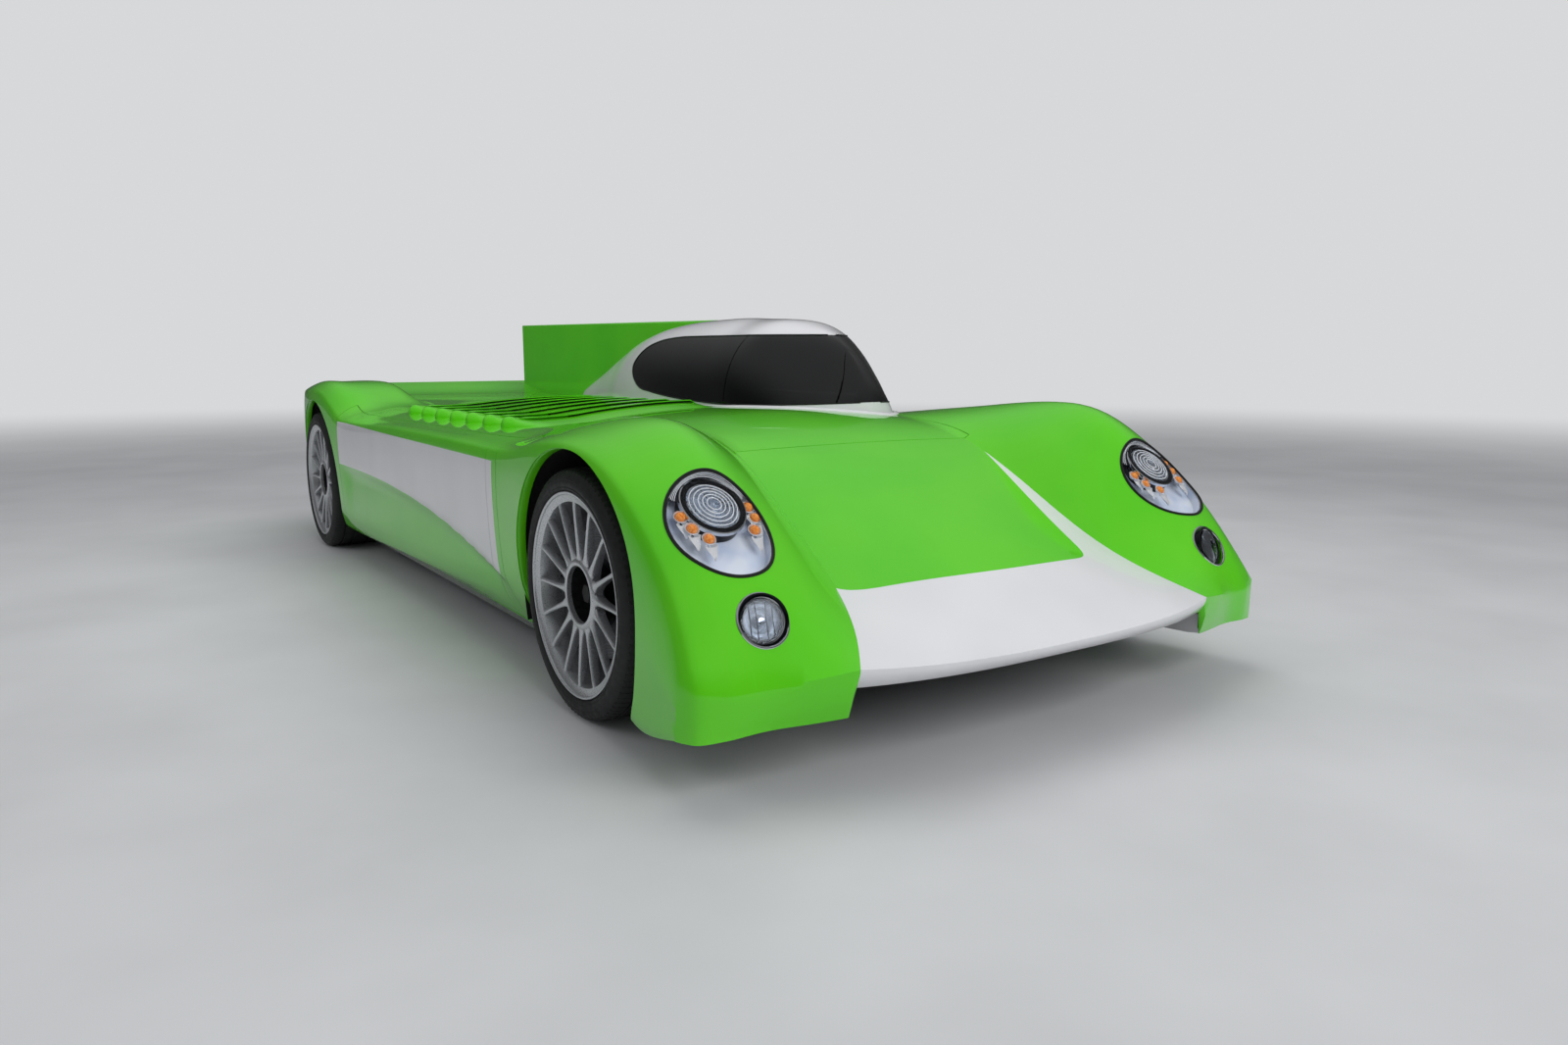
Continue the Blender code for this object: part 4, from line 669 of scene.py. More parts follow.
hood_back_share, cowl_back_share, deck_back_share = -0.315, -0.1075, 0.185
side_front_share, side_back_share = -0.205, 0.241
shelf_share, seam_share, bubble_seam_share, rear_seam_share = 0.872, 0.47, 0.394, 0.52
hatch_seam_share = -0.185


def guide_point(line, share):
    """A point of one guide line; ahead of the fan's end the stations spread to the nose."""
    rows = guide_shares[line]
    if share < fan_end_share:
        stretch = (fan_end_share - rows[0][0]) / (fan_end_share - guide_shares[0][0][0])
        share = fan_end_share + (share - fan_end_share) * stretch
    x, z = follow(rows, share)
    return Vector((x * body_half_width, share * body_length, z * crest_height))


def cross_line(station_share):
    """Half of one cross line of the skin, from the centre to the sill."""
    guides = [guide_point(line, station_share) for line in range(len(guide_shares))]
    points = [guides[0]]
    for s in between(0.0, 1.0, points_between[0])[1:]:
        middle = guides[0].lerp(guides[1], s)
        middle.y = guides[0].y + (guides[1].y - guides[0].y) * s ** 3
        middle.z = guides[0].z + (guides[1].z - guides[0].z) * s * s
        points.append(middle)
    tangents = [None, (guides[2] - guides[1]).normalized()]
    for i in range(2, len(guides) - 1):
        back, ahead = guides[i] - guides[i - 1], guides[i + 1] - guides[i]
        tangents.append((back / back.length ** 2 + ahead / ahead.length ** 2).normalized())
    tangents.append((guides[-1] - guides[-2]).normalized())
    lengths = [(b - a).length for a, b in zip(guides, guides[1:])]
    for i in range(1, len(guides) - 1):
        before = lengths[i - 1] if i > 1 else lengths[i]
        after = lengths[i + 1] if i + 1 < len(lengths) else lengths[i]
        leave = tangents[i] * min(lengths[i], before)
        arrive = tangents[i + 1] * min(lengths[i], after)
        points += [blend(guides[i], guides[i + 1], leave, arrive, s)
                   for s in between(0.0, 1.0, points_between[i])[1:]]
    return points


def eased(grid, passes):
    """The grid with its lengthwise waves ironed out; the first and last rows stay."""
    for _ in range(passes):
        inner = [[(a + b * 2 + c) / 4 for a, b, c in zip(grid[i - 1], grid[i], grid[i + 1])]
                 for i in range(1, len(grid) - 1)]
        grid = [grid[0]] + inner + [grid[-1]]
    return grid


def step_between(value, low, high):
    """Nought below low, one above high, smooth between them."""
    t = min(max((value - low) / (high - low), 0.0), 1.0)
    return t * t * (3 - 2 * t)


def fold_in(point):
    """The flank's scoop: the skin steps inward under the sweep and comes back at the sill."""
    fold_z = sweep_height(point.y)
    if point.z > fold_z or abs(point.x) < flank_inner_x:
        return point
    ends = step_between(point.y, *fold_front) * (1 - step_between(point.y, *fold_rear))
    share = min((fold_z - point.z) / max(fold_z - fold_low_z, 0.02), 1.0)
    depth = fold_depth * ends * step_between(share, 0.0, fold_lip) * (1 - share)
    return Vector((point.x - depth, point.y, point.z))


def skin_grid():
    """Rows of points of the left half of the skin, with a rounded lip under the nose."""
    count = int(1.0 / station_step) + 1
    grid = eased([cross_line(-0.5 + i / (count - 1)) for i in range(count)], 12)
    lip = []
    for t in (1.0, 0.8, 0.5, 0.2):
        row = []
        for point in grid[0]:
            out = point.x / body_half_width
            low = min(follow(chin_shares, out)[0] * crest_height, point.z - 0.0003)
            back = min(point.z - low, nose_lip) * max(1 - out ** 5, 0.0)
            row.append(Vector((point.x, point.y + back * t * t, point.z + (low - point.z) * t)))
        lip.append(row)
    return [[fold_in(p) for p in row] for row in lip + grid]


def panel_of(x, y, inside):
    """Which panel of the body a plan position belongs to."""
    along, across = y / body_length, abs(x) / body_half_width
    side = "left" if x > 0 else "right"
    if along < hood_back_share:
        return "nose_panel" if inside else f"front_fender_{side}"
    if along < cowl_back_share and across < seam_share:
        return "cowl_panel"
    if along < side_front_share or (along < cowl_back_share and across < shelf_share):
        return f"front_fender_{side}"
    if along < side_back_share:
        if across > shelf_share or (x > 0 and across > bubble_seam_share):
            return f"side_panel_{side}"
        if along < deck_back_share:
            return "louvre_deck"
        if across < rear_seam_share:
            return "rear_deck"
        return f"rear_fender_{side}"
    return "rear_deck" if across < rear_seam_share else f"rear_fender_{side}"


def skin_sheet():
    """The whole skin as one sheet, cut along every seam; faces know if they lie in the crease."""
    grid = skin_grid()
    width = len(grid[0])
    work = bmesh.new()
    inside = work.faces.layers.int.new("inside")
    columns = list(range(-(width - 1), width))
    rows = []
    for row in grid:
        rows.append([work.verts.new((math.copysign(row[abs(c)].x, c) if c else 0.0,
                                     row[abs(c)].y, row[abs(c)].z)) for c in columns])
    for a, b in zip(rows, rows[1:]):
        for k in range(len(columns) - 1):
            face = work.faces.new((a[k], a[k + 1], b[k + 1], b[k]))
            face[inside] = int(max(abs(columns[k]), abs(columns[k + 1])) <= crease_column)
    bmesh.ops.recalc_face_normals(work, faces=work.faces)
    top = max(work.faces, key=lambda f: f.calc_center_median().z)
    if top.normal.z < 0:
        bmesh.ops.reverse_faces(work, faces=work.faces)
    half = seam_width / 2
    seams = [(1, share * body_length) for share in (
        hood_back_share, cowl_back_share, deck_back_share, side_front_share, side_back_share,
        hatch_seam_share)]
    seams += [(0, sign * share * body_half_width) for sign in (-1, 1)
              for share in (shelf_share, seam_share, bubble_seam_share, rear_seam_share)]
    for axis, level in seams:
        for edge in (level - half, level + half):
            spot, normal = Vector((0, 0, 0)), Vector((0, 0, 0))
            spot[axis], normal[axis] = edge, 1.0
            bmesh.ops.bisect_plane(work, geom=work.verts[:] + work.edges[:] + work.faces[:],
                                   plane_co=spot, plane_no=normal, dist=0.00001)
    return work, inside, seams


def in_gap(centre, flag, seams):
    """True where two panels meet, or at the seam across the flank."""
    for axis, level in seams:
        if abs(centre[axis] - level) < seam_width / 2:
            before, after = centre.copy(), centre.copy()
            before[axis] -= seam_width
            after[axis] += seam_width
            if panel_of(before.x, before.y, flag) != panel_of(after.x, after.y, flag):
                return True
            hatch = axis == 1 and level == hatch_seam_share * body_length
            if hatch and abs(centre.x) > flank_inner_x:
                return True
    return False


def panel_meshes(sheet, inside, seams):
    """One open mesh for each panel of the sheet."""
    groups = {}
    for face in sheet.faces:
        centre = face.calc_center_median()
        if in_gap(centre, face[inside], seams):
            continue
        if centre.z < 0.5 and abs(centre.x) > 0.7:
            centre.x = math.copysign(body_half_width, centre.x)
        groups.setdefault(panel_of(centre.x, centre.y, face[inside]), []).append(face)
    made = {}
    for name, faces in groups.items():
        index, vertices, polygons = {}, [], []
        for face in faces:
            polygon = []
            for v in face.verts:
                if v.index not in index:
                    index[v.index] = len(vertices)
                    vertices.append(v.co.copy())
                polygon.append(index[v.index])
            polygons.append(polygon)
        mesh = bpy.data.meshes.new(name)
        mesh.from_pydata(vertices, [], polygons)
        made[name] = mesh
    return made


# Lamps: centre, half sizes across and along the slope, and the way they face
headlamp_at, headlamp_across, headlamp_along = (0.78, -1.974, 0.571), 0.126, 0.15
headlamp_facing = (0.05, -0.7, 0.72)
fog_at, fog_radius, fog_facing = (0.788, -2.16, 0.386), 0.06, (0.2, -0.91, 0.35)
front_arch = (-1.503, 0.31, 0.395)
rear_arch = (1.565, 0.326, 0.386)
arch_inner_x = 0.72
arch_lip_profile = [(-0.004, 0.0), (0.002, 0.0), (0.004, 0.003), (0.004, 0.022), (0.0, 0.024),
                    (-0.004, 0.022)]
housing_outer_x, housing_gap, housing_under_skin = 0.918, 0.012, 0.022
foot_wall = [(-2.228, 0.212), (-2.05, 0.2), (-1.95, 0.16), (-2.11, 0.15), (-2.19, 0.153),
             (-2.226, 0.158)]


class LampFrame:
    """Places points by how far they are across, up the slope and out of a lamp's face."""

    def __init__(self, centre, facing, side):
        self.centre = Vector((side * centre[0], centre[1], centre[2]))
        self.out = Vector((side * facing[0], facing[1], facing[2])).normalized()
        self.across = self.out.cross(Vector((0, 0, 1))).normalized()
        self.up = self.across.cross(self.out)
        if side > 0:
            self.across = -self.across

    def at(self, p, q, h):
        """A point from its distances across, up and out."""
        return self.centre + self.across * p + self.up * q + self.out * h

    def on_skin(self, p, q, lift=0.0):
        """The skin's point over a place of the lamp's face."""
        spot = skin_hit(self.at(p, q, 0.25), -self.out)
        return (spot if spot else self.at(p, q, 0.0)) + self.out * lift

    def oval(self, across, along, turns, lift=0.0):
        """Points of an oval on the skin."""
        return [self.on_skin(across * math.cos(t), along * math.sin(t), lift) for t in turns]

    def depth(self, p, q):
        """How far out of the lamp's face the skin lies at a place."""
        return (self.on_skin(p, q) - self.centre).dot(self.out)

    def plug(self, across, along):
        """A straight oval plug through the skin."""
        return loft("plug", [[self.at(across * math.cos(a), along * math.sin(a), h)
                              for a in round_turns(64)] for h in (-0.12, 0.12)])

    def rings(self, name, rows, segments=72, caps=False, smooth_deg=35.0, wall=0.0):
        """Oval rings; each row is half across, half along, depth, and the shift of its centre."""
        lines = [[self.at(dx + a * math.cos(t), dy + b * math.sin(t), h)
                  for t in round_turns(segments)] for a, b, h, dx, dy in rows]
        mesh = loft(name, lines, caps=caps, smooth_deg=smooth_deg)
        return plain(mesh, thickness=wall) if wall else mesh


def circles(profile, level, p=0.0, q=0.0):
    """Round rows for rings, from pairs of radius and height over a level."""
    return [(r, r, level + h, p, q) for r, h in profile]


def make_body():
    """The painted panels, with their arches and lamp holes."""
    sheet, inside, seams = skin_sheet()
    surfaces["skin"] = BVHTree.FromBMesh(sheet)
    meshes = panel_meshes(sheet, inside, seams)
    sheet.free()
    looks = {"nose_panel": "hood_enamel_two_colour", "side_panel_right": "flank_enamel_two_colour",
             "side_panel_left": "flank_enamel_two_colour"}
    for name, mesh in meshes.items():
        tools = []
        side = -1 if name.endswith("right") else 1
        if "fender" in name:
            y, z, radius = front_arch if "front" in name else rear_arch
            circle = [(y + radius * math.cos(a), z + radius * math.sin(a))
                      for a in round_turns(120)]
            tools.append(prism(circle, 0, side * arch_inner_x, side * 1.2))
        if "front_fender" in name:
            tools += [LampFrame(headlamp_at, headlamp_facing, side).plug(headlamp_across,
                                                                         headlamp_along),
                      LampFrame(fog_at, fog_facing, side).plug(fog_radius, fog_radius)]
        if name in ("louvre_deck", "side_panel_left", "cowl_panel", "rear_deck"):
            tools.append(prism(bubble_foot(-0.02, -0.222, 0.17), 2, 0.4, 1.0))
        if name == "louvre_deck":
            tools += louvre_slots()
        made = plain(mesh, tools, thickness=skin_wall)
        piece(f"{name}_skin", made, looks.get(name, "green_enamel_lacquered"), stands_for=name)


def arch_lip(side, y, z, radius):
    """A rolled lip where a wheel opening meets the flank."""
    rows = []
    back = Vector((-side, 0, 0))
    for angle in arc(-32, 244, 96):
        up, out = math.sin(angle), math.cos(angle)
        hit = skin_hit(Vector((side * 1.3, y + radius * out, z + radius * up)), back)
        if hit and abs(hit.x) >= flank_inner_x:
            inward = Vector((0, -out, -up))
            rows.append([hit + back * (0.004 + deep) + inward * fall
                         for fall, deep in arch_lip_profile])
    return loft("lip", rows)


def wheel_housing(side, y, z, radius, inner_x):
    """A black half drum over the wheel, kept under the skin."""
    inner, outer, r = side * inner_x, side * housing_outer_x, radius + housing_gap
    rows = []
    for angle in arc(-18, 216, 64):
        py, pz = y + r * math.cos(angle), z + r * math.sin(angle)
        line = [Vector((x, py, min(pz, deck_z(x, py) - housing_under_skin)))
                for x in between(inner, outer, 8)]
        wall_x = inner - side * 0.004
        rows.append([Vector((inner, y, z + 0.01))] + line
                    + [p + Vector((0, 0, 0.003)) for p in line[::-1]]
                    + [Vector((wall_x, line[0].y, line[0].z + 0.003)),
                       Vector((wall_x, y, z + 0.01))])
    return loft("housing", rows, caps=False)


def make_arch_details():
    """Rolled lips round the wheel openings and the black housings behind them."""
    for side, word in both_sides:
        for opening, end, inner_x in ((front_arch, "front", 0.535), (rear_arch, "rear", 0.6)):
            piece(f"arch_lip_{end}_{word}", arch_lip(side, *opening), "green_enamel_lacquered")
            piece(f"wheel_housing_{end}_{word}", wheel_housing(side, *opening, inner_x),
                  "moulded_black_liner")
        piece(f"fender_foot_wall_{word}", prism(foot_wall, 0, side * 0.621, side * 0.627),
              "white_enamel_lacquered")

# Cockpit bubble
bubble_x, bubble_half_width, bubble_base, canopy_rise = 0.38, 0.33, 0.7, 0.374
bubble_shares = [(-0.23, 0.04, 0.1, 1.7), (-0.226, 0.25, 0.24, 1.7), (-0.217, 0.43, 0.4, 1.5),
                 (-0.204, 0.56, 0.58, 1.42), (-0.188, 0.71, 0.735, 1.5), (-0.165, 0.84, 0.865, 1.9),
                 (-0.13, 1.0, 0.965, 2.4), (-0.09, 1.0, 0.985, 2.15),
                 (-0.06, 1.0, 1.0, 2.15), (-0.01, 0.98, 0.99, 2.15),
                 (0.045, 0.9, 0.949, 2.15), (0.1, 0.76, 0.848, 2.05), (0.16, 0.53, 0.655, 1.9),
                 (0.22, 0.32, 0.406, 1.8), (0.26, 0.2, 0.246, 1.7), (0.285, 0.11, 0.14, 1.7)]
bubble_skin = 0.009
glass_low, glass_high, glass_seam, glass_inset = 0.766, 1.0, 0.0016, 0.0008
screen_front_y, pillar_y = -1.16, -0.5952
a_pillar_top, a_pillar_low = -0.865, -1.005
side_glass = [(0.06, 0.06), (0.15, 0.12), (0.2325, 0.27), (0.2883, 0.47), (0.279, 0.65),
              (0.2139, 0.84), (0.0837, 0.955), (-0.093, 1.0)]
door_front_y, door_back_y, door_low, door_high = -0.5766, 0.1209, 0.77, 1.022
door_round, door_gap, door_top_gap, pane_inset = 0.03, 0.0045, 0.004, 0.0012
pane_side, pane_low, pane_radii = 0.034, 0.0204, (0.02, 0.05, 0.05, 0.02)


def glass_foot(y):
    """Height of the glazing's lower edge, which sags a little along the flank."""
    return glass_low - 0.016 + 0.073 * min(abs(y + 0.6), 0.66) ** 2


def bubble_width(y):
    return follow(bubble_shares, y / body_length)[0] * bubble_half_width


def bubble_foot(grow, start_share, end_share):
    """Plan outline of the bubble's foot, grown by a margin."""
    rows = [(y, max(bubble_width(y) + grow, 0.004))
            for y in between(start_share * body_length, end_share * body_length, 40)]
    return [(bubble_x - half, y) for y, half in rows] + [(bubble_x + half, y)
                                                         for y, half in rows[::-1]]


def bubble_shell():
    """The canopy as a thin open shell of one piece."""
    rows = []
    first, last = bubble_shares[0][0], bubble_shares[-1][0]
    for t in between(0.0, 1.0, 120):
        share = first + (last - first) * (0.35 * t * t + 0.65 * t)
        wide, high, power = follow(bubble_shares, share)
        half, rise = wide * bubble_half_width, high * canopy_rise
        row = []
        for angle in between(0.0, math.pi, 56):
            c, s = math.cos(angle), math.sin(angle)
            row.append(Vector((bubble_x + math.copysign(abs(c) ** (2 / power), c) * half,
                               share * body_length, bubble_base + abs(s) ** (2 / power) * rise)))
        feet = [Vector((bubble_x + sign * half, share * body_length, bubble_base - 0.05))
                for sign in (1, -1)]
        rows.append([feet[0]] + row + [feet[1]])
    rows = eased(rows, 3)
    mesh = loft("bubble", rows, ring=False)
    work = bmesh.new()
    work.from_mesh(mesh)
    top = max(work.faces, key=lambda f: f.calc_center_median().z)
    if top.normal.z < 0:
        bmesh.ops.reverse_faces(work, faces=work.faces)
    for end in (rows[0], rows[-1]):
        keys = [tuple(round(c, 5) for c in p) for p in end]
        ring = [v for v in work.verts if tuple(round(c, 5) for c in v.co) in keys]
        if len(ring) > 2:
            bmesh.ops.contextual_create(work, geom=ring)
    work.to_mesh(mesh)
    work.free()
    return plain(mesh, thickness=bubble_skin)


def grown(outline, distance):
    """An outline grown outward by a distance."""
    area = sum(a[0] * b[1] - b[0] * a[1] for a, b in zip(outline, outline[1:] + outline[:1]))
    ordered = outline if area > 0 else outline[::-1]
    result = []
    for i, here in enumerate(ordered):
        before, after = Vector(ordered[i - 1]), Vector(ordered[(i + 1) % len(ordered)])
        corner = Vector(here)
        into, out = (corner - before).normalized(), (after - corner).normalized()
        normal_in, normal_out = Vector((into.y, -into.x)), Vector((out.y, -out.x))
        bisector = (normal_in + normal_out).normalized()
        result.append(tuple(corner + bisector * distance / max(bisector.dot(normal_in), 0.4)))
    return result


def rounded(low, high, radii, steps=8):
    """A box outline in (y, z) with round corners: front low, rear low, rear top, front top."""
    corners = [((low[0], low[1]), 180, (1, 1)), ((high[0], low[1]), 270, (-1, 1)),
               ((high[0], high[1]), 0, (-1, -1)), ((low[0], high[1]), 90, (1, -1))]
    outline = []
    for (corner, start, (sx, sz)), r in zip(corners, radii):
        for k in range(steps + 1):
            angle = math.radians(start + 90 * k / steps)
            outline.append((corner[0] + sx * r + r * math.cos(angle),
                            corner[1] + sz * r + r * math.sin(angle)))
    return outline


def smooth_outline(points, steps=6):
    """More points along an open line, on a smooth curve through the given ones."""
    result = []
    for i in range(len(points) - 1):
        p0 = Vector(points[max(i - 1, 0)])
        p1, p2 = Vector(points[i]), Vector(points[i + 1])
        p3 = Vector(points[min(i + 2, len(points) - 1)])
        for k in range(steps):
            t = k / steps
            square, cube = 2 * p0 - 5 * p1 + 4 * p2 - p3, 3 * p1 - p0 - 3 * p2 + p3
            result.append(tuple(0.5 * (2 * p1 + (p2 - p0) * t + square * t * t + cube * t ** 3)))
    return result + [tuple(points[-1])]


def make_canopy():
    """White roof and base, black glazing, the door and its edges."""
    shell = bubble_shell()
    near, far = bubble_x - 0.5, bubble_x + 0.5

    def cut(outline, low=bubble_x, high=far):
        return prism(outline, 0, low, high)

    def kept(mesh, outline, *reach):
        return plain(mesh, [cut(outline, *reach)], "INTERSECT")

    def foot(start, end):
        return [(y, glass_foot(y)) for y in between(start, end, 16)]

    def pillar(shift):
        low = glass_foot(a_pillar_low)
        return [(a_pillar_low + (a_pillar_top - a_pillar_low) * t ** 1.6 + shift,
                 low + (glass_high - low) * t) for t in between(0.0, 1.0, 12)]

    rear = [(y, max(glass_low + level * (glass_high - glass_low), glass_foot(y)))
            for y, level in smooth_outline(side_glass)]
    band = foot(screen_front_y, rear[0][0])[:-1] + rear + [(screen_front_y, glass_high)]
    door = rounded((door_front_y, door_low), (door_back_y, door_high), (door_round,) * 4)
    piece("canopy_roof_skin", plain(shell.copy(), [cut(band, near), cut(door)]),
          "white_enamel_lacquered", stands_for="canopy_roof")
    seam = glass_seam
    screen = foot(screen_front_y, a_pillar_low - seam)[:-1] + pillar(-seam)
    screen.append((screen_front_y, glass_high))
    quarter = (foot(a_pillar_low + seam, pillar_y - seam) + [(pillar_y - seam, glass_high)]
               + pillar(seam)[:0:-1])
    back = foot(pillar_y + seam, rear[0][0])[:-1] + rear + [(pillar_y + seam, glass_high)]
    for name, outline, low, top, stands in (
            ("windscreen_glass", screen, near, far, "windscreen"),
            ("quarter_glass_right", quarter, near, bubble_x, ()),
            ("quarter_glass_left", quarter, bubble_x, far, ()),
            ("side_window_glass", back, near, bubble_x, "side_window"),
            ("rear_glass_left", back, bubble_x, far, ())):
        made = kept(shell.copy(), grown(outline, -glass_inset), low, top)
        if name.endswith("left"):
            made = plain(made, [cut(grown(door, door_gap))])
        piece(name, made, "smoked_polycarbonate_glazing", stands_for=stands)
    frame_line = rounded((door_front_y + door_gap, door_low + door_gap),
                         (door_back_y - door_gap, door_high - door_top_gap), (door_round,) * 4)
    pane = rounded((door_front_y + pane_side, door_low + pane_low),
                   (door_back_y - pane_side, door_high - pane_side), pane_radii)
    whole = kept(shell.copy(), frame_line)
    border = plain(whole.copy(), [cut(pane)])
    piece("door_frame_skin", kept(border.copy(), band, bubble_x, far), "black_ceramic_edge_print",
          body="door", stands_for="door_frame")
    piece("door_edge_skin", plain(border, [cut(band)]), "white_enamel_lacquered", body="door")
    piece("door_pane", kept(whole, grown(pane, -pane_inset)), "smoked_polycarbonate_glazing",
          body="door", stands_for="door_glass")
    work = bmesh.new()
    work.from_mesh(shell)
    surfaces["bubble"] = BVHTree.FromBMesh(work)
    work.free()
    make_canopy_trim(rear)
    make_canopy_flange()


def on_bubble(side, y, z, lift):
    """A point of the canopy's skin seen from one side at a place and height."""
    start = Vector((bubble_x + side * 0.6, y, z))
    hit, normal = surfaces["bubble"].ray_cast(start, Vector((-side, 0, 0)))[:2]
    return hit + normal * lift if hit else None


def make_canopy_trim(rear):
    """Seals round the glazing and the pillar behind the glass."""
    line = [on_bubble(-1, y, z, 0.0002) for y, z in rear]
    piece("rear_glass_seal_right", tube("seal", [p for p in line if p], 0.0028, sides=8),
          "extruded_rubber_seal")
    for side, word in both_sides:
        for label, start in (("low", rear[0][0]), ("high", rear[-1][0])):
            line = []
            for y in between(start, -1.06, 89):
                hit = on_bubble(side, y, glass_foot(y) if label == "low" else glass_high, 0.0004)
                beside_door = side > 0 and y > pillar_y
                if hit and abs(hit.x - bubble_x) > 0.01 and not beside_door:
                    line.append(hit)
            piece(f"glass_seal_{label}_{word}", tube("seal", line, 0.0026, sides=8),
                  "extruded_rubber_seal")
    rows = []
    for z in between(glass_low - 0.006, glass_high + 0.006, 23):
        row = [on_bubble(-1, pillar_y + shift, z, -bubble_skin - deep) for shift, deep in
               ((-0.018, 0.001), (0.018, 0.001), (0.018, 0.012), (-0.018, 0.012))]
        if all(row):
            rows.append(row)
    piece("canopy_pillar_right", loft("pillar", rows), "black_ceramic_edge_print")


def make_canopy_flange():
    """Second white flange on the deck, wide at the bubble's nose and fading along its sides."""
    back_y, nose_y, inner = -0.3, -1.064, 0.004
    ys = [back_y + (nose_y - back_y) * t ** 0.8 for t in between(0.0, 1.0, 60)]
    line = [(bubble_x - bubble_width(y), y) for y in ys]
    line += [(2 * bubble_x - x, y) for x, y in line[-2::-1]]
    rows = []
    for i, (x, y) in enumerate(line):
        before, after = line[max(i - 1, 0)], line[min(i + 1, len(line) - 1)]
        along = Vector((after[0] - before[0], after[1] - before[1])).normalized()
        out = Vector((along.y, -along.x))
        if out.dot(Vector((x - bubble_x, y - back_y))) < 0:
            out = -out
        fade = step_between(-y, 0.3, 0.85)
        wide = 0.003 + 0.011 * fade
        row = []
        for offset, lift in ((0.0, -0.006), (0.0, 0.004 + 0.004 * fade),
                             (wide * 0.6, 0.004 + 0.002 * fade), (wide, 0.0005),
                             (wide, -0.006)):
            px, py = x + out.x * (inner + offset), y + out.y * (inner + offset)
            row.append(Vector((px, py, deck_z(px, py) + lift)))
        rows.append(row)
    piece("canopy_foot_flange", loft("flange", rows), "white_enamel_lacquered")


fin_front_y, fin_tail_y, fin_half, fin_nose_share = -0.012, 2.2436, 0.012, 0.12
fin_top_z, fin_top_rise = 1.0725, 0.0215


def make_fin():
    """Upright fin with a rounded top and a thin trailing edge."""
    rows = []
    for t in between(0.0, 1.0, 80):
        y = fin_front_y + (fin_tail_y - fin_front_y) * t
        if t < fin_nose_share:
            half = fin_half * math.sqrt(t / fin_nose_share)
        else:
            half = fin_half * (1 - 0.6 * (t - fin_nose_share) / (1 - fin_nose_share))
        half = max(half, 0.002)
        top = fin_top_z + fin_top_rise * t - half
        low = 0.66
        if y / body_length <= bubble_shares[-1][0]:
            low = bubble_base + follow(bubble_shares, y / body_length)[1] * canopy_rise - 0.006
        rows.append([Vector((bubble_x + half, y, low))]
                    + [Vector((bubble_x + half * math.cos(angle), y, top + half * math.sin(angle)))
                       for angle in between(0.0, math.pi, 8)]
                    + [Vector((bubble_x - half, y, low))])
    piece("fin_skin", loft("fin", rows), "green_enamel_lacquered", stands_for="fin")


# Louvres of the deck: each ends outboard in a round bulge and runs inboard as a sloping slat
louvre_count, louvre_pitch, louvre_first_y = 7, 0.183, -0.535
louvre_outer_x, louvre_end_margin = -0.765, 0.045
slat_half, slat_rise = 0.079, 0.021
# Along the end: distance inboard, half depth, height, share of the slat's profile, shift rearward
louvre_ends = [(0.0, 0.004, 0.004, 0.0, 0.004), (0.002, 0.012, 0.018, 0.0, 0.004),
               (0.007, 0.018, 0.028, 0.0, 0.005), (0.015, 0.022, 0.034, 0.0, 0.006),
               (0.026, 0.024, 0.036, 0.0, 0.007), (0.038, 0.026, 0.035, 0.1, 0.009),
               (0.052, 0.031, 0.031, 0.3, 0.01), (0.075, 0.044, 0.026, 0.6, 0.007),
               (0.105, 0.064, 0.024, 0.9, 0.001), (0.15, slat_half, slat_rise, 1.0, 0.0)]
slat_profile = [(-1.0, 0.0), (-0.85, 0.1), (-0.55, 0.3), (-0.15, 0.5), (0.25, 0.63),
                (0.6, 0.7), (0.84, 0.72), (0.84, 1.02), (0.6, 1.04), (0.6, 1.18), (0.9, 1.2),
                (1.0, 1.05), (1.0, 0.4), (1.0, 0.0)]
hollow_profile = [(-1.0, 0.0), (-0.7, 0.16), (-0.2, 0.4), (0.3, 0.56), (0.7, 0.62), (1.0, 0.64),
                  (1.0, 0.0)]
mouth_shares = [(0.7, 0.66), (0.87, 0.66), (0.87, 1.03), (0.7, 1.03)]
slot_front, slot_back, slot_end = 0.018, 0.06, 0.17
mouth_outer_x = -0.5
well_outer_x, well_front_y, well_back_y, well_low, well_high = -0.78, -0.62, 0.7, 0.655, 0.662


def louvre_inner_x(y):
    """Where the louvres end beside the bubble."""
    return min(bubble_x - bubble_width(y) - 0.03, bubble_x - 0.08)


def louvre_rows(y, profile, wall=0.0):
    """Cross rows of one hood, or of the hollow inside it that opens to the rear."""
    reach = louvre_inner_x(y) - louvre_outer_x
    rows = []
    stations = [row[0] for row in louvre_ends]
    stations += between(stations[-1], reach, 14)[1:]
    for s in stations:
        half, height, slat, shift = follow(louvre_ends, s)
        height *= max(1 - step_between(s, reach - louvre_end_margin, reach), 0.05)
        row = []
        for k, (u, v) in enumerate(profile):
            angle = math.pi * (1 - k / (len(profile) - 1))
            u = u * slat + math.cos(angle) * (1 - slat)
            v = v * slat + math.sin(angle) * (1 - slat)
            py = y + shift + u * (half - wall) + wall * 2.2
            px = louvre_outer_x + s + (wall * (1 - s / reach) * 1.5)
            row.append(Vector((px, py, deck_z(px, py) + v * height - wall)))
        row += [Vector((px, end, deck_z(px, end) - 0.014 - wall)) for end in (row[-1].y, row[0].y)]
        rows.append(row)
    return rows


def louvre_slots():
    """Cutters that open the deck under the rear half of each hood."""
    return [block((louvre_outer_x + slot_end, y + slot_front, 0.6),
                  (louvre_inner_x(y) - 0.05, y + slot_back, 0.8))
            for y in (louvre_first_y + i * louvre_pitch for i in range(louvre_count))]


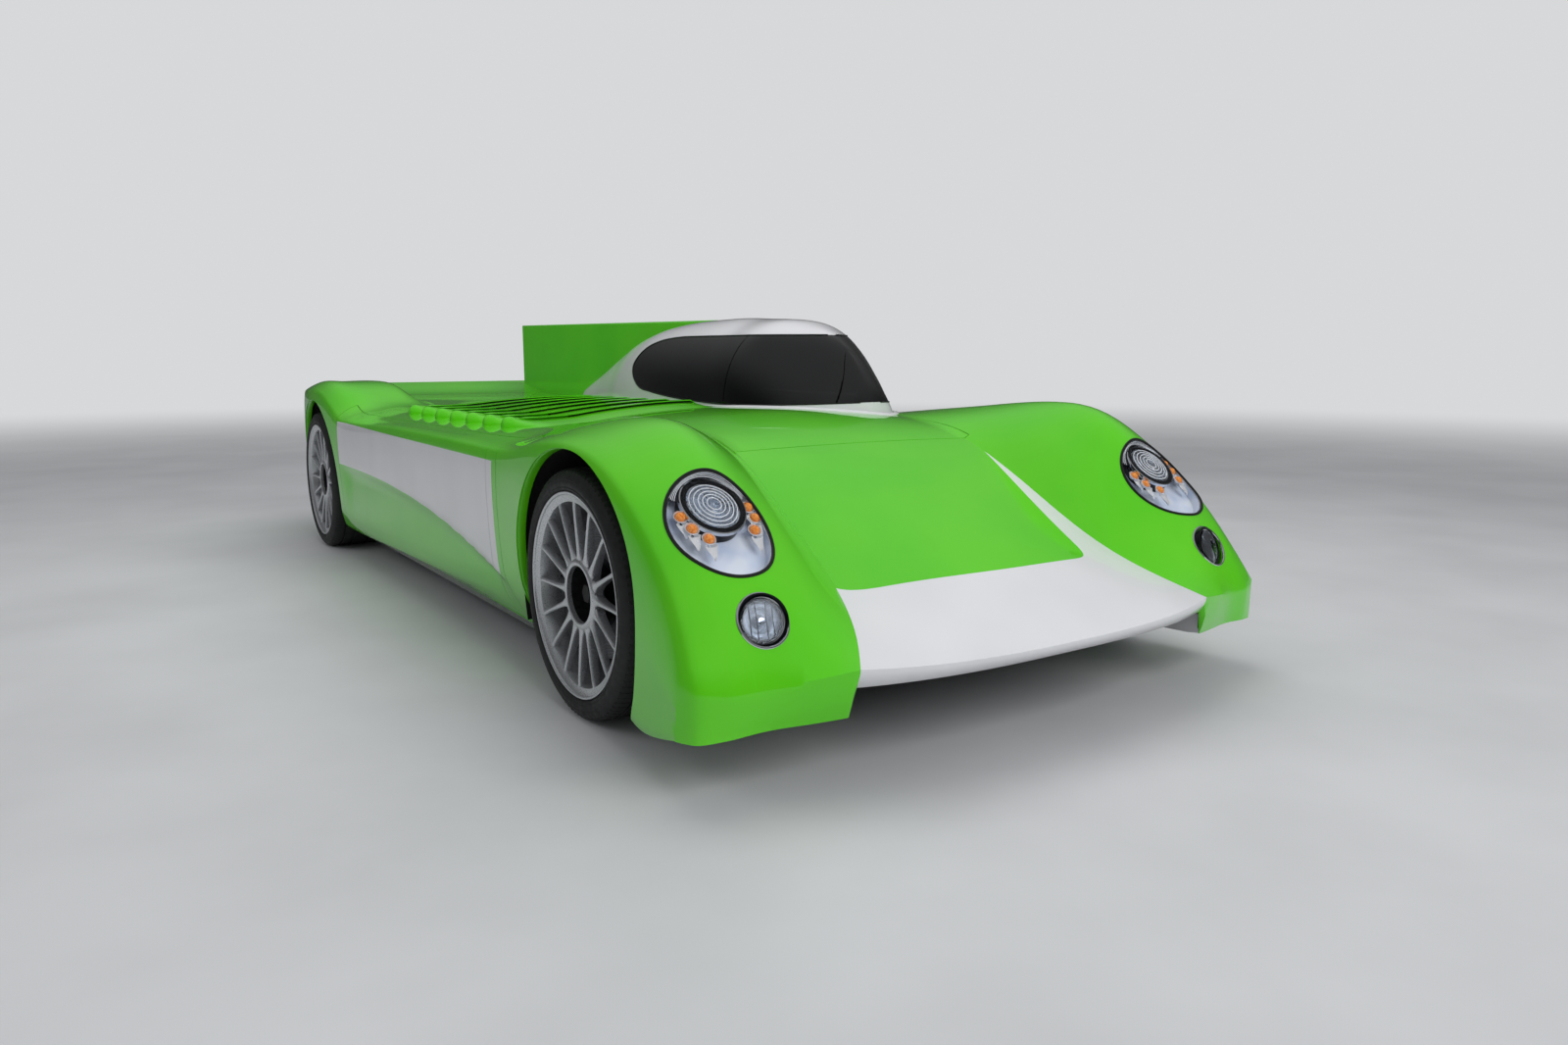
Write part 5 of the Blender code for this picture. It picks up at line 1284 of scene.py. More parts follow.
def make_louvres():
    """Seven hoods with bulging ends, each over a slot, with a black block of painted shade in the
    mouth under its crest.
    """
    for i in range(louvre_count):
        y = louvre_first_y + i * louvre_pitch
        hood = plain(loft("hood", louvre_rows(y, slat_profile), smooth_deg=50),
                     [loft("hollow", louvre_rows(y, hollow_profile, 0.003))])
        piece(f"louvre_hood_{i + 1}", soften(hood, 50), "green_enamel_lacquered")
        # A black block in each hood's mouth under the crest: painted shade
        rows = [[Vector((x, y + u * slat_half, deck_z(x, y + u * slat_half) + v * slat_rise))
                 for u, v in mouth_shares]
                for x in between(mouth_outer_x, louvre_inner_x(y) - 0.03, 16)]
        piece(f"louvre_mouth_{i + 1}", loft("mouth", rows), "moulded_black_liner")
    outline = [(well_outer_x, well_front_y)]
    outline += [(louvre_inner_x(y) - 0.02, y) for y in between(well_front_y, well_back_y, 12)]
    outline.append((well_outer_x, well_back_y))
    piece("louvre_well", prism(outline, 2, well_low, well_high), "moulded_black_liner")


# Wheels
wheel_centre_x = 0.806
spoke_count, stud_count, lug_count = 16, 8, 96
spoke_foot, spoke_tip = 0.078, 0.247
# Along a spoke: radius, half width, how far out its face stands
spoke_shape = [(0.078, 0.019, 0.11), (0.09, 0.0175, 0.1105), (0.1, 0.0128, 0.111),
               (0.112, 0.0094, 0.1118), (0.135, 0.0074, 0.1135), (0.17, 0.0063, 0.1158),
               (0.205, 0.0058, 0.118), (0.225, 0.0061, 0.1192), (0.238, 0.0078, 0.1196),
               (0.247, 0.012, 0.1198)]
# Turned parts: pairs of place along the axle and radius
rim_profile = [(-0.131, 0.26), (-0.131, 0.2667), (-0.124, 0.2667), (-0.118, 0.252),
               (-0.1, 0.245), (-0.03, 0.233), (0.05, 0.233), (0.09, 0.24),
               (0.11, 0.246), (0.118, 0.256), (0.124, 0.2667), (0.129, 0.2667),
               (0.1308, 0.2655), (0.131, 0.264), (0.13, 0.26), (0.1285, 0.2585),
               (0.1262, 0.258), (0.1225, 0.2505), (0.1205, 0.244), (0.119, 0.24),
               (0.108, 0.237), (0.05, 0.227), (-0.03, 0.227), (-0.1, 0.238),
               (-0.122, 0.246)]
hub_profile = [(0.112, 0.0745), (0.1135, 0.0765), (0.114, 0.08), (0.1135, 0.085),
               (0.111, 0.0905), (0.108, 0.0935), (0.086, 0.0935), (0.08, 0.088),
               (0.08, 0.074), (0.095, 0.0735)]
cup_profile = [(0.1, 0.0742), (0.1, 0.0728), (0.05, 0.068), (0.044, 0.064),
               (0.044, 0.002), (0.038, 0.002), (0.038, 0.0735), (0.05, 0.0742)]
nut_profile = [(0.092, 0.001), (0.092, 0.024), (0.089, 0.027), (0.079, 0.0275),
               (0.077, 0.034), (0.06, 0.035), (0.044, 0.035), (0.044, 0.001)]
stud_profile = [(0.06, 0.0002), (0.06, 0.005), (0.058, 0.0062), (0.044, 0.0062),
                (0.044, 0.0002)]
disc_profile = [(0.021, 0.095), (0.021, 0.1735), (0.0225, 0.175), (0.029, 0.175),
                (0.029, 0.17), (0.039, 0.17), (0.039, 0.175), (0.0455, 0.175),
                (0.047, 0.1735), (0.047, 0.095)]
hat_profile = [(0.044, 0.074), (0.044, 0.1), (0.04, 0.102), (0.026, 0.102),
               (0.024, 0.1), (0.024, 0.096), (0.037, 0.09), (0.037, 0.074)]
caliper_profile = [(0.08, 0.108), (0.083, 0.115), (0.083, 0.185), (0.079, 0.196),
                   (-0.02, 0.196), (-0.024, 0.19), (-0.024, 0.112), (-0.02, 0.108),
                   (0.013, 0.108), (0.013, 0.182), (0.055, 0.182), (0.055, 0.108)]
caliper_turn_deg, caliper_lean_deg = 64, 62
# Outer half of the tyre: sidewall rings, rounded shoulder and two of its four grooves
tyre_half = [(0.113, 0.2455), (0.119, 0.256), (0.1245, 0.2668), (0.129, 0.269),
             (0.133, 0.272), (0.1342, 0.276), (0.133, 0.2785), (0.1345, 0.283),
             (0.1348, 0.288), (0.1342, 0.2925), (0.133, 0.2965), (0.1336, 0.2975),
             (0.133, 0.299), (0.1315, 0.303), (0.129, 0.3085), (0.125, 0.3145),
             (0.12, 0.319), (0.113, 0.3223), (0.104, 0.3242), (0.086, 0.325),
             (0.0845, 0.3195), (0.078, 0.3195), (0.0765, 0.3253), (0.042, 0.3258),
             (0.0405, 0.3195), (0.032, 0.3195), (0.0305, 0.3259), (0.0, 0.326)]
# Across a tread lug: place and height of its foot, place and height of its top, half widths
lug_rows = [(0.09, 0.3235, 0.09, 0.32585, 0.0062, 0.0055),
            (0.109, 0.3215, 0.109, 0.3244, 0.0058, 0.005),
            (0.123, 0.3135, 0.1236, 0.3178, 0.005, 0.0042)]


def spoke_mesh():
    """One spoke along +Z: flared at the hub, slim in the middle, with a ridge on its face."""
    rows = []
    for r in between(spoke_foot, spoke_tip, 27):
        half, face = follow(spoke_shape, r)
        deep = 0.016 + 0.014 * (1 - (r - spoke_foot) / (spoke_tip - spoke_foot))
        rows.append([Vector((face - back, half * wide, r)) for back, wide in (
            (0.0, -0.35), (0.0, 0.35), (0.0022, 0.85), (0.006, 1.0), (deep, 0.7), (deep, -0.7),
            (0.006, -1.0), (0.0022, -0.85))])
    return loft("spoke", rows)


def tyre_mesh():
    """Tyre with rounded shoulders, sidewall rings, four tread grooves and shoulder lugs."""
    tyre = turned("tyre", tyre_half + [(-x, r) for x, r in tyre_half[-2::-1]], 128)
    lug = loft("lug", [[Vector((x0, -w0, z0)), Vector((x0, w0, z0)), Vector((x1, w1, z1)),
                        Vector((x1, -w1, z1))] for x0, z0, x1, z1, w0, w1 in lug_rows])
    lugs = joined("lugs", [lug, moved(lug, Matrix.Rotation(math.pi, 4, "Z"))])
    return joined("tyre", [tyre, ringed("tread_lugs", lugs, lug_count)])


def ringed(name, part, count):
    """Copies of a part evenly round the axle."""
    return repeated(name, part, count, (2 * math.pi / count, 0, 0))


def make_wheels():
    """Rims with sixteen slim spokes, deep hubs, discs, calipers and treaded tyres."""
    spokes = ringed("wheel_spokes", spoke_mesh(), spoke_count)
    rim = joined("rim", [turned("rim", rim_profile, 128), spokes, turned("hub", hub_profile, 96)])
    cup = joined("cup", [turned("cup", cup_profile, 72),
                         turned("nut", nut_profile, 6, smooth_deg=20)])
    stud = moved(turned("stud", stud_profile, 12), Matrix.Translation((0, 0, 0.051)))
    parts = (("rim", rim, "cast_alloy_silver_lacquer", "wheel_"),
             ("hub_cup", cup, "black_oxide_steel", ""),
             ("hub_studs", ringed("studs", stud, stud_count), "anodised_dark_aluminium", ""),
             ("brake_disc", turned("disc", disc_profile, 96), "turned_iron_disc", ""),
             ("disc_hat", turned("hat", hat_profile, 72), "anodised_dark_aluminium", ""),
             ("tyre_rubber", tyre_mesh(), "moulded_tyre_rubber", "tyre_"))
    for side, side_word in both_sides:
        for y, end in ((front_axle_y, "front"), (rear_axle_y, "rear")):
            word = f"{end}_{side_word}"
            place = Matrix.Translation((side * wheel_centre_x, y, tyre_radius))
            place = place @ Matrix.Rotation(math.pi if side < 0 else 0.0, 4, "Z")
            for name, mesh, look, stands in parts:
                piece(f"{name}_{word}", moved(mesh, place), look, f"wheel_{word}",
                      stands + word if stands else ())
            lean = caliper_lean_deg if (side > 0) == (end == "front") else 180 - caliper_lean_deg
            clamp = turned("caliper", caliper_profile, 24, lean + 90 - caliper_turn_deg / 2,
                           caliper_turn_deg)
            piece(f"brake_caliper_{word}", moved(clamp, place), "anodised_dark_aluminium",
                  "root" if end == "rear" else f"knuckle_{side_word}")


# Headlamp insides. Small lights: shares of the oval across and along
amber_places = [(0.68, 0.24), (0.575, -0.02), (0.36, -0.25), (-0.7, -0.06), (-0.86, 0.22),
                (-0.8, 0.42)]
amber_under_skin = 0.01
bowl_rows = [(0.985, 0.006), (0.977, 0.02), (0.955, 0.031), (0.9, 0.038), (0.75, 0.046),
             (0.55, 0.053), (0.3, 0.058), (0.05, 0.06)]
lens_across, lens_along, lens_radius, lens_ring_width = 0.005, 0.06, 0.066, 0.0175
lens_under_skin, lens_rise, lens_ripple = 0.005, 0.007, 0.0011
# Beside the lens: distance past its radius, and height
lens_ring_profile = [(0.0, -0.006), (0.0, 0.003), (0.003, 0.0045), (0.01, 0.003),
                     (0.013, -0.004), (0.013, -0.047), (0.0, -0.047)]
bright_ring_profile = [(0.012, 0.0), (0.0135, 0.003), (0.0165, 0.002), (0.0175, -0.006),
                       (0.012, -0.006)]
# Behind the lens: share of its radius, and height
mirror_profile = [(0.93, -0.006), (0.9, -0.014), (0.82, -0.013), (0.79, -0.02),
                  (0.7, -0.019), (0.66, -0.026), (0.45, -0.032), (0.22, -0.036),
                  (0.2, -0.02), (0.14, -0.014), (0.02, -0.012)]
ridge_shares = (0.9, 0.74, 0.58, 0.42, 0.26)
amber_cup_profile = [(0.017, -0.002), (0.0157, -0.0005), (0.013, -0.006), (0.007, -0.012)]
# Bright petal below a small light: half across, half along, height, how far below
petal_rows = [(0.016, 0.006, -0.003, -0.018), (0.0125, 0.0215, -0.006, -0.027),
              (0.004, 0.027, -0.012, -0.03)]
amber_radius, amber_rise, amber_low = 0.0128, 0.0115, -0.004
cover_shares = (0.972, 0.85, 0.7, 0.5, 0.3, 0.1)


def lens_frame(lamp, side):
    """A frame parallel to the skin over the lens, and the level that keeps its ring under it."""
    p, q = side * lens_across, lens_along
    reach = lens_radius + lens_ring_width
    ends = [lamp.on_skin(p + reach * x, q + reach * y)
            for x, y in ((1, 0), (-1, 0), (0, 1), (0, -1))]
    facing = (ends[0] - ends[1]).cross(ends[2] - ends[3])
    facing = facing if facing.dot(lamp.out) > 0 else -facing
    middle = lamp.on_skin(p, q)
    lens = LampFrame((side * middle.x, middle.y, middle.z),
                     (side * facing.x, facing.y, facing.z), side)
    lowest = min((spot - middle).dot(lens.out) for spot in lens.oval(reach, reach,
                                                                     round_turns(96)))
    return lens, lowest - lens_under_skin


def make_shroud(lamp, lens, base, word):
    """Dark ribbed shroud from the lamp's rim down to the lens ring."""
    shroud, ribs = [], []
    ring_radius = lens_radius + 0.014
    for k in range(25):
        t = k / 24
        dip = -0.001 * math.sin(math.pi * t) + (0.0012 if k % 4 == 0 else 0.0)
        line = []
        for angle in arc(40 - 22 * t, 98 + 54 * t, 60):
            across, up = math.cos(angle), math.sin(angle)
            rim_point = lamp.on_skin(headlamp_across * 0.985 * across,
                                     headlamp_along * 0.985 * up, -0.003)
            ring_point = lens.at(ring_radius * across, ring_radius * up, base - 0.001)
            line.append(rim_point.lerp(ring_point, t) + lamp.out * dip)
        shroud.append(line)
        # Pale tubes on four of the lines: painted highlight lines on the shroud's ribs
        if k in (3, 7, 11, 15):
            raised = [point + lamp.out * 0.001 for point in line]
            ribs.append(tube("rib", raised, 0.0009, sides=6))
    mesh = loft("shroud", shroud, ring=False, smooth_deg=25)
    piece(f"headlamp_shroud_{word}", plain(mesh, thickness=0.002), "graphite_plated_shroud")
    piece(f"headlamp_shroud_ribs_{word}", joined("ribs", ribs), "pale_ridge_painted_highlight")


def make_lens(lens, base, word):
    """The big lens: black ring, chrome ring, stepped mirror, rippled dome and pale ridges painted
    as highlight lines.
    """
    r = lens_radius
    for name, look, profile in (("lens_ring", "gloss_black_lamp_ring", lens_ring_profile),
                                ("lens_bright_ring", "plated_reflector", bright_ring_profile)):
        rows = circles([(r + more, h) for more, h in profile], base)
        piece(f"{name}_{word}", lens.rings("ring", rows), look)
    mirror = [(r - 0.001, -0.002)] + [(r * share, h) for share, h in mirror_profile]
    piece(f"lens_mirror_{word}", lens.rings("mirror", circles(mirror, base), wall=0.0015),
          "bright_reflector_petal")
    dome = []
    for k in range(19):
        share = 1 - k / 18 * 0.985
        ripple = lens_ripple * (1 if k % 2 else -1) if 0 < k < 15 else 0.0
        dome.append((r * share, 0.001 + lens_rise * (1 - share ** 2) + ripple))
    dome += [(r * 0.015, -0.003), (r, -0.003)]
    piece(f"headlamp_lens_{word}",
          lens.rings("lens", circles(dome, base), caps=True, smooth_deg=12), "clear_pressed_lens")
    # Pale tubes over the lens rings: painted highlight lines
    ridges = []
    for share in ridge_shares:
        level = base + 0.0022 + lens_rise * (1 - share ** 2)
        line = [lens.at(r * share * math.cos(t), r * share * math.sin(t), level)
                for t in round_turns(96)]
        ridges.append(tube("ridge", line, 0.0013, True, 6))
    piece(f"headlamp_lens_ridges_{word}", joined("ridges", ridges), "pale_ridge_painted_highlight")


def make_small_light(lamp, number, p, q, word):
    """One amber light in a bright cup, with a petal of a reflector below it."""
    level = lamp.depth(p, q) - amber_under_skin
    cup = lamp.rings("cup", circles(amber_cup_profile, level, p, q), 24, wall=0.001)
    piece(f"amber_cup_{number}_{word}", cup, "bright_reflector_petal")
    rows = [(a, b, level + h, p, q + below) for a, b, h, below in petal_rows]
    petal = lamp.rings("petal", rows, 6, smooth_deg=5, wall=0.001)
    piece(f"amber_reflector_{number}_{word}", petal, "bright_reflector_petal")
    ball = [(amber_radius * math.cos(t), amber_low + amber_rise * math.sin(t))
            for t in between(0.0, math.pi / 2 * 0.97, 6)]
    piece(f"amber_light_{number}_{word}",
          lamp.rings("amber", circles(ball, level, p, q), 24, caps=True), "amber_acrylic_dome")


def make_headlamps():
    """Covered oval lamps: ribbed dark shroud, pale bowl, big pressed lens and amber lights."""
    a, b, turns = headlamp_across, headlamp_along, round_turns(96)
    for side, word in both_sides:
        lamp = LampFrame(headlamp_at, headlamp_facing, side)
        piece(f"headlamp_gasket_{word}", tube("gasket", lamp.oval(a, b, turns), 0.0042, True),
              "extruded_rubber_seal", stands_for=f"headlamp_{word}")
        rows = [[lamp.on_skin(a * share * math.cos(t), b * share * math.sin(t), -drop)
                 for t in turns] for share, drop in bowl_rows]
        piece(f"headlamp_bowl_{word}", plain(loft("bowl", rows, caps=False), thickness=0.002),
              "gloss_pale_lamp_bowl")
        rim = lamp.oval(a * 0.975, b * 0.975, turns, -0.004)
        piece(f"headlamp_rim_{word}", tube("rim", rim, 0.0022, True), "plated_reflector")
        lens, base = lens_frame(lamp, side)
        make_shroud(lamp, lens, base, word)
        make_lens(lens, base, word)
        for i, (p, q) in enumerate(amber_places):
            make_small_light(lamp, i + 1, -side * p * a, q * b, word)
        cover = [lamp.oval(a * share, b * share, turns) for share in cover_shares]
        middle = cover[-1][0].lerp(cover[-1][len(turns) // 2], 0.5)
        mesh = loft("cover", cover + [[middle] * len(turns)], caps=False)
        piece(f"headlamp_cover_{word}", plain(mesh, thickness=0.0015), "clear_polycarbonate_cover")


# Fog lamp rings: name, finish, pairs of radius and height, segments, wall, smooth angle
fog_rings = [
    ("bezel", "gloss_black_lamp_ring", [(0.0595, -0.012), (0.0595, 0.0), (0.056, 0.002),
     (0.051, -0.004), (0.0505, -0.02)], 72, 0.001, 35.0),
    ("trim", "plated_reflector", [(0.0515, -0.006), (0.0508, -0.002), (0.0485, -0.003),
     (0.048, -0.012)], 72, 0.001, 35.0),
    ("reflector", "bright_reflector_petal", [(0.048, -0.008), (0.043, -0.018), (0.039, -0.014),
     (0.033, -0.028), (0.028, -0.024), (0.021, -0.038), (0.017, -0.034), (0.009, -0.044)],
     14, 0.001, 4.0),
    ("inner_ring", "gloss_black_lamp_ring", [(0.046, -0.008), (0.045, -0.005),
     (0.0425, -0.006), (0.042, -0.016)], 72, 0.0008, 35.0),
    ("bulb", "plated_reflector", [(0.012, -0.04), (0.0115, -0.016), (0.008, -0.01),
     (0.0005, -0.009)], 24, 0.0008, 35.0)]
fog_lens = [(0.049, -0.004), (0.047, 0.0015), (0.04, 0.0042), (0.03, 0.0062),
            (0.018, 0.0076), (0.001, 0.008), (0.001, 0.004), (0.047, -0.004)]
fog_bars, fog_bar_circle = (-0.026, -0.011, 0.011, 0.026), 0.042


def make_fog_lamps():
    """Round lamps in a chrome ring, with a faceted reflector behind a clear lens."""
    for side, word in both_sides:
        lamp = LampFrame(fog_at, fog_facing, side)
        edge = lamp.oval(fog_radius, fog_radius, round_turns(72))
        flat = sum((p - lamp.centre).dot(lamp.out) for p in edge) / len(edge)
        piece(f"fog_lamp_ring_{word}", tube("ring", edge, 0.0034, True), "plated_reflector",
              stands_for=f"fog_lamp_{word}")
        for name, look, profile, segments, wall, smooth_deg in fog_rings:
            rows = circles(profile, flat)
            piece(f"fog_lamp_{name}_{word}",
                  lamp.rings(name, rows, segments, smooth_deg=smooth_deg, wall=wall), look)
        piece(f"fog_lamp_lens_{word}",
              lamp.rings("lens", circles(fog_lens, flat), caps=True), "clear_pressed_lens")
        bars = []
        for x in fog_bars:
            tall = math.sqrt(fog_bar_circle ** 2 - x * x)
            low, high = (lamp.at(x, end, flat - 0.01) for end in (-tall, tall))
            bars.append(tube("bar", [low, low.lerp(high, 0.5), high], 0.0016, sides=6))
        piece(f"fog_lamp_shield_bars_{word}", joined("bars", bars), "gloss_black_lamp_ring")


tail_lamp_x, tail_lamp_z, tail_rib_count, tail_rib_pitch = 0.52, 0.62, 21, 0.0098
slat_count, slat_pitch, slat_low_z = 14, 0.0145, 0.385
fence_count, fence_pitch, fence_first_x = 7, 0.14, -0.42
fence_line = [(1.72, 0.128), (1.9, 0.128), (2.24, 0.288), (2.24, 0.262), (1.91, 0.1055),
              (1.72, 0.1055)]


def make_tail():
    """Tail lamps, rear grille slats and diffuser fences."""
    for side, word in both_sides:
        x, z = side * tail_lamp_x, tail_lamp_z
        shell = block((x - 0.11, 2.27, z - 0.03), (x + 0.11, 2.304, z + 0.03), 0.006)
        rib = block((-0.0012, 2.2995, z - 0.023), (0.0012, 2.305, z + 0.023), 0.0008)
        ribs = repeated("tail_ribs", rib, tail_rib_count, shift=(tail_rib_pitch, 0, 0))
        first_x = x - tail_rib_pitch * (tail_rib_count - 1) / 2
        ribs = moved(ribs, Matrix.Translation((first_x, 0, 0)))
        piece(f"tail_lamp_lens_{word}", joined("lens", [shell, ribs]), "red_acrylic_lens",
              stands_for=f"tail_lamp_{word}")
        outer = rounded((x - 0.121, z - 0.041), (x + 0.121, z + 0.041), (0.012,) * 4)
        hole = rounded((x - 0.111, z - 0.031), (x + 0.111, z + 0.031), (0.007,) * 4)
        piece(f"tail_lamp_bezel_{word}",
              plain(prism(outer, 1, 2.291, 2.299), [prism(hole, 1, 2.2, 2.4)]),
              "black_ceramic_edge_print")
    slat = moved(block((-0.36, 2.2905, 0.0), (0.36, 2.3, 0.006), 0.0015),
                 Matrix.Translation((0, 0, slat_low_z)))
    piece("rear_grille_slats", repeated("grille_slats", slat, slat_count, shift=(0, 0, slat_pitch)),
          "black_ceramic_edge_print")
    fence = moved(prism(fence_line, 0, -0.003, 0.003),
                  Matrix.Translation((fence_first_x, 0, -0.0005)))
    piece("diffuser_fences", repeated("diffuser_fences", fence, fence_count,
                                      shift=(fence_pitch, 0, 0)), "carbon_twill_laminate")


# The seat's middle line from its front edge to its head, and its half width along that line
seat_line = [(-0.36, 0.29), (-0.3, 0.262), (-0.2, 0.25), (-0.1, 0.246), (0.0, 0.25),
             (0.07, 0.272), (0.115, 0.32), (0.15, 0.39), (0.2, 0.48), (0.25, 0.57),
             (0.3, 0.65), (0.345, 0.715), (0.375, 0.76), (0.392, 0.785)]
seat_widths = [(0.0, 0.2), (0.3, 0.212), (0.5, 0.2), (0.7, 0.215), (0.85, 0.19),
               (1.0, 0.115)]
seat_bolster, seat_thickness, seat_ripple = 0.055, 0.026, 0.008
strap_x, strap_half, strap_corners = 0.075, 0.025, ((-0.012, 0.016), (-0.014, 0.019))
grip_radius, grip_foot, grip_bar = 0.15, -0.105, 0.0135
wheel_at = (bubble_x, -0.42, 0.61)


def make_seat():
    """Bucket seat with bolsters and two harness straps."""
    path = smooth_outline(seat_line, 3)
    rows = []
    for i, (y, z) in enumerate(path):
        t = i / (len(path) - 1)
        before, after = Vector(path[max(i - 1, 0)]), Vector(path[min(i + 1, len(path) - 1)])
        along = (after - before).normalized()
        out = Vector((-along.y, along.x)) if t >= 0.02 else Vector((0, 1))
        half = follow(seat_widths, t)[0]
        bolster = (seat_bolster * (1 - 0.5 * step_between(t, 0.8, 1.0))
                   * (0.5 + 0.5 * step_between(t, 0.0, 0.2)))
        front, back = [], []
        for u in between(-1.0, 1.0, 16):
            rise = (bolster * step_between(abs(u), 0.45, 0.9)
                    + seat_ripple * math.cos(u * 9) * (abs(u) < 0.5))
            deep = rise * 0.75 - seat_thickness
            front.append(Vector((bubble_x + u * half, y + out.x * rise, z + out.y * rise)))
            back.append(Vector((bubble_x + u * half * 1.03, y + out.x * deep, z + out.y * deep)))
        rows.append(front + back[::-1])
    seat = piece("bucket_seat", loft("seat", rows, smooth_deg=60), "ribbed_seat_cloth",
                 stands_for="seat")
    low, high = strap_corners
    for side, word in both_sides:
        x = bubble_x + side * strap_x
        rows = [[Vector((x + sign * strap_half, y + shift, z + lift)) for sign, (shift, lift) in
                 ((-1, low), (1, low), (1, high), (-1, high))] for y, z in path[10:-2]]
        piece(f"harness_strap_{word}", loft("strap", rows), "woven_harness_webbing")


def make_cockpit():
    """Seat, steering wheel and the dash display."""
    make_seat()
    # Steering wheel with a flat foot; its column runs forward to the dash
    cx, cy, cz = wheel_at
    ring = [Vector((cx + grip_radius * math.cos(a), cy,
                    cz + max(grip_radius * math.sin(a), grip_foot))) for a in round_turns(72)]
    piece("wheel_grip", tube("grip", ring, grip_bar, closed=True, sides=14), "suede_grip",
          "steering_wheel", "steering_wheel")
    spokes = [block((cx - 0.142, cy - 0.006, cz - 0.016), (cx + 0.142, cy + 0.004, cz + 0.016),
                    0.003),
              block((cx - 0.014, cy - 0.006, cz - 0.1), (cx + 0.014, cy + 0.004, cz), 0.003),
              block((cx - 0.05, cy - 0.01, cz - 0.036), (cx + 0.05, cy + 0.012, cz + 0.036),
                    0.006)]
    piece("wheel_boss", joined("boss", spokes), "carbon_twill_laminate", "steering_wheel")
    column = [(0.0, 0.0005), (0.0, 0.016), (0.1275, 0.016), (0.1275, 0.0005)]
    place = Matrix.Translation(wheel_at) @ Matrix.Rotation(-math.pi / 2, 4, "Z")
    piece("steering_column", moved(turned("column", column, 32), place),
          "anodised_dark_aluminium", "steering_wheel")
    piece("dash_display", block((cx - 0.11, -0.5595, 0.6), (cx + 0.11, -0.556, 0.645), 0.001),
          "display_glass")
    piece("dash_hood", block((0.1, -0.7, 0.672), (0.66, -0.545, 0.682), 0.004), "suede_grip")


def dress_cad_nodes():
    """Finishes for the CAD nodes that stay in view."""
    looks = {"carbon_twill_laminate": ("floor_pan", "tail_panel", "cockpit_tub"),
             "suede_grip": ("dash",), "anodised_dark_aluminium": ("battery_pack", "drive_unit"),
             "black_oxide_steel": ("suspension", "knuckle", "upright")}
    for name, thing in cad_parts.items():
        for look, words in looks.items():
            if any(word in name for word in words):
                thing.data.materials.clear()
                thing.data.materials.append(finishes[look][0])


camera_at, camera_lens = (-1.992, -3.986, 0.939), 24.58
camera_down_deg, camera_turn_deg = 9.048, -34.325
backdrop, backdrop_level = "#e6e7e9", 0.86
ceiling_low, ceiling_high = 0.07, 0.45
cove_start, cove_end, floor_reach = 5.0, 17.0, 40
# Soft boxes: place, what they face, size in metres and power in watts; none shows in a reflection
soft_boxes = {"overhead_softbox": ((0.8, 0.4, 4.4), (0, 0, 0.4), (4.0, 5.0), 110),
              "front_softbox": ((0.6, -8.0, 4.6), (0, -1.0, 0.5), (6.0, 4.0), 330),
              "left_strip": ((-5.0, 1.0, 3.6), (-0.9, 0.2, 0.5), (6.0, 1.4), 40),
              "rear_softbox": ((1.5, 7.5, 4.4), (0.2, 0.5, 0.7), (6.0, 2.5), 30)}


def make_camera():
    """Camera at the photograph's place."""
    data = bpy.data.cameras.new("camera")
    data.lens, data.sensor_width = camera_lens, 36.0
    camera = linked("camera", data)
    camera.location = camera_at
    camera.rotation_euler = (math.radians(90 - camera_down_deg), 0, math.radians(camera_turn_deg))
    bpy.context.scene.camera = camera
    bpy.context.scene.view_settings.view_transform = "Standard"


def make_world():
    """The camera sees a pale backdrop, matt surfaces a bright room and mirroring ones a dim one."""
    world = bpy.data.worlds.new("studio_room")
    bpy.context.scene.world = world
    world.use_nodes = True
    tree = world.node_tree
    room = tree.nodes["Background"]
    room.inputs["Color"].default_value = linear("#dfe1e4")
    room.inputs["Strength"].default_value = 0.5
    path = add(tree, "ShaderNodeLightPath")
    way = add(tree, "ShaderNodeTexCoord")
    split = add(tree, "ShaderNodeSeparateXYZ", links={"Vector": way.outputs["Generated"]})
    ceiling = add(tree, "ShaderNodeMapRange", interpolation_type="SMOOTHSTEP",
                  links={"Value": split.outputs["Z"]},
                  values={"From Min": 0.15, "From Max": 0.85, "To Min": ceiling_low,
                          "To Max": ceiling_high})
    seen = room
    for ray, level in (("Is Glossy Ray", ceiling), ("Is Transmission Ray", ceiling),
                       ("Is Camera Ray", None)):
        other = add(tree, "ShaderNodeBackground",
                    values={"Color": linear(backdrop), "Strength": backdrop_level})
        if level:
            tree.links.new(level.outputs["Result"], other.inputs["Strength"])
        seen = add(tree, "ShaderNodeMixShader",
                   links={0: path.outputs[ray], 1: seen.outputs[0], 2: other.outputs[0]})
    tree.links.new(seen.outputs[0], tree.nodes["World Output"].inputs["Surface"])


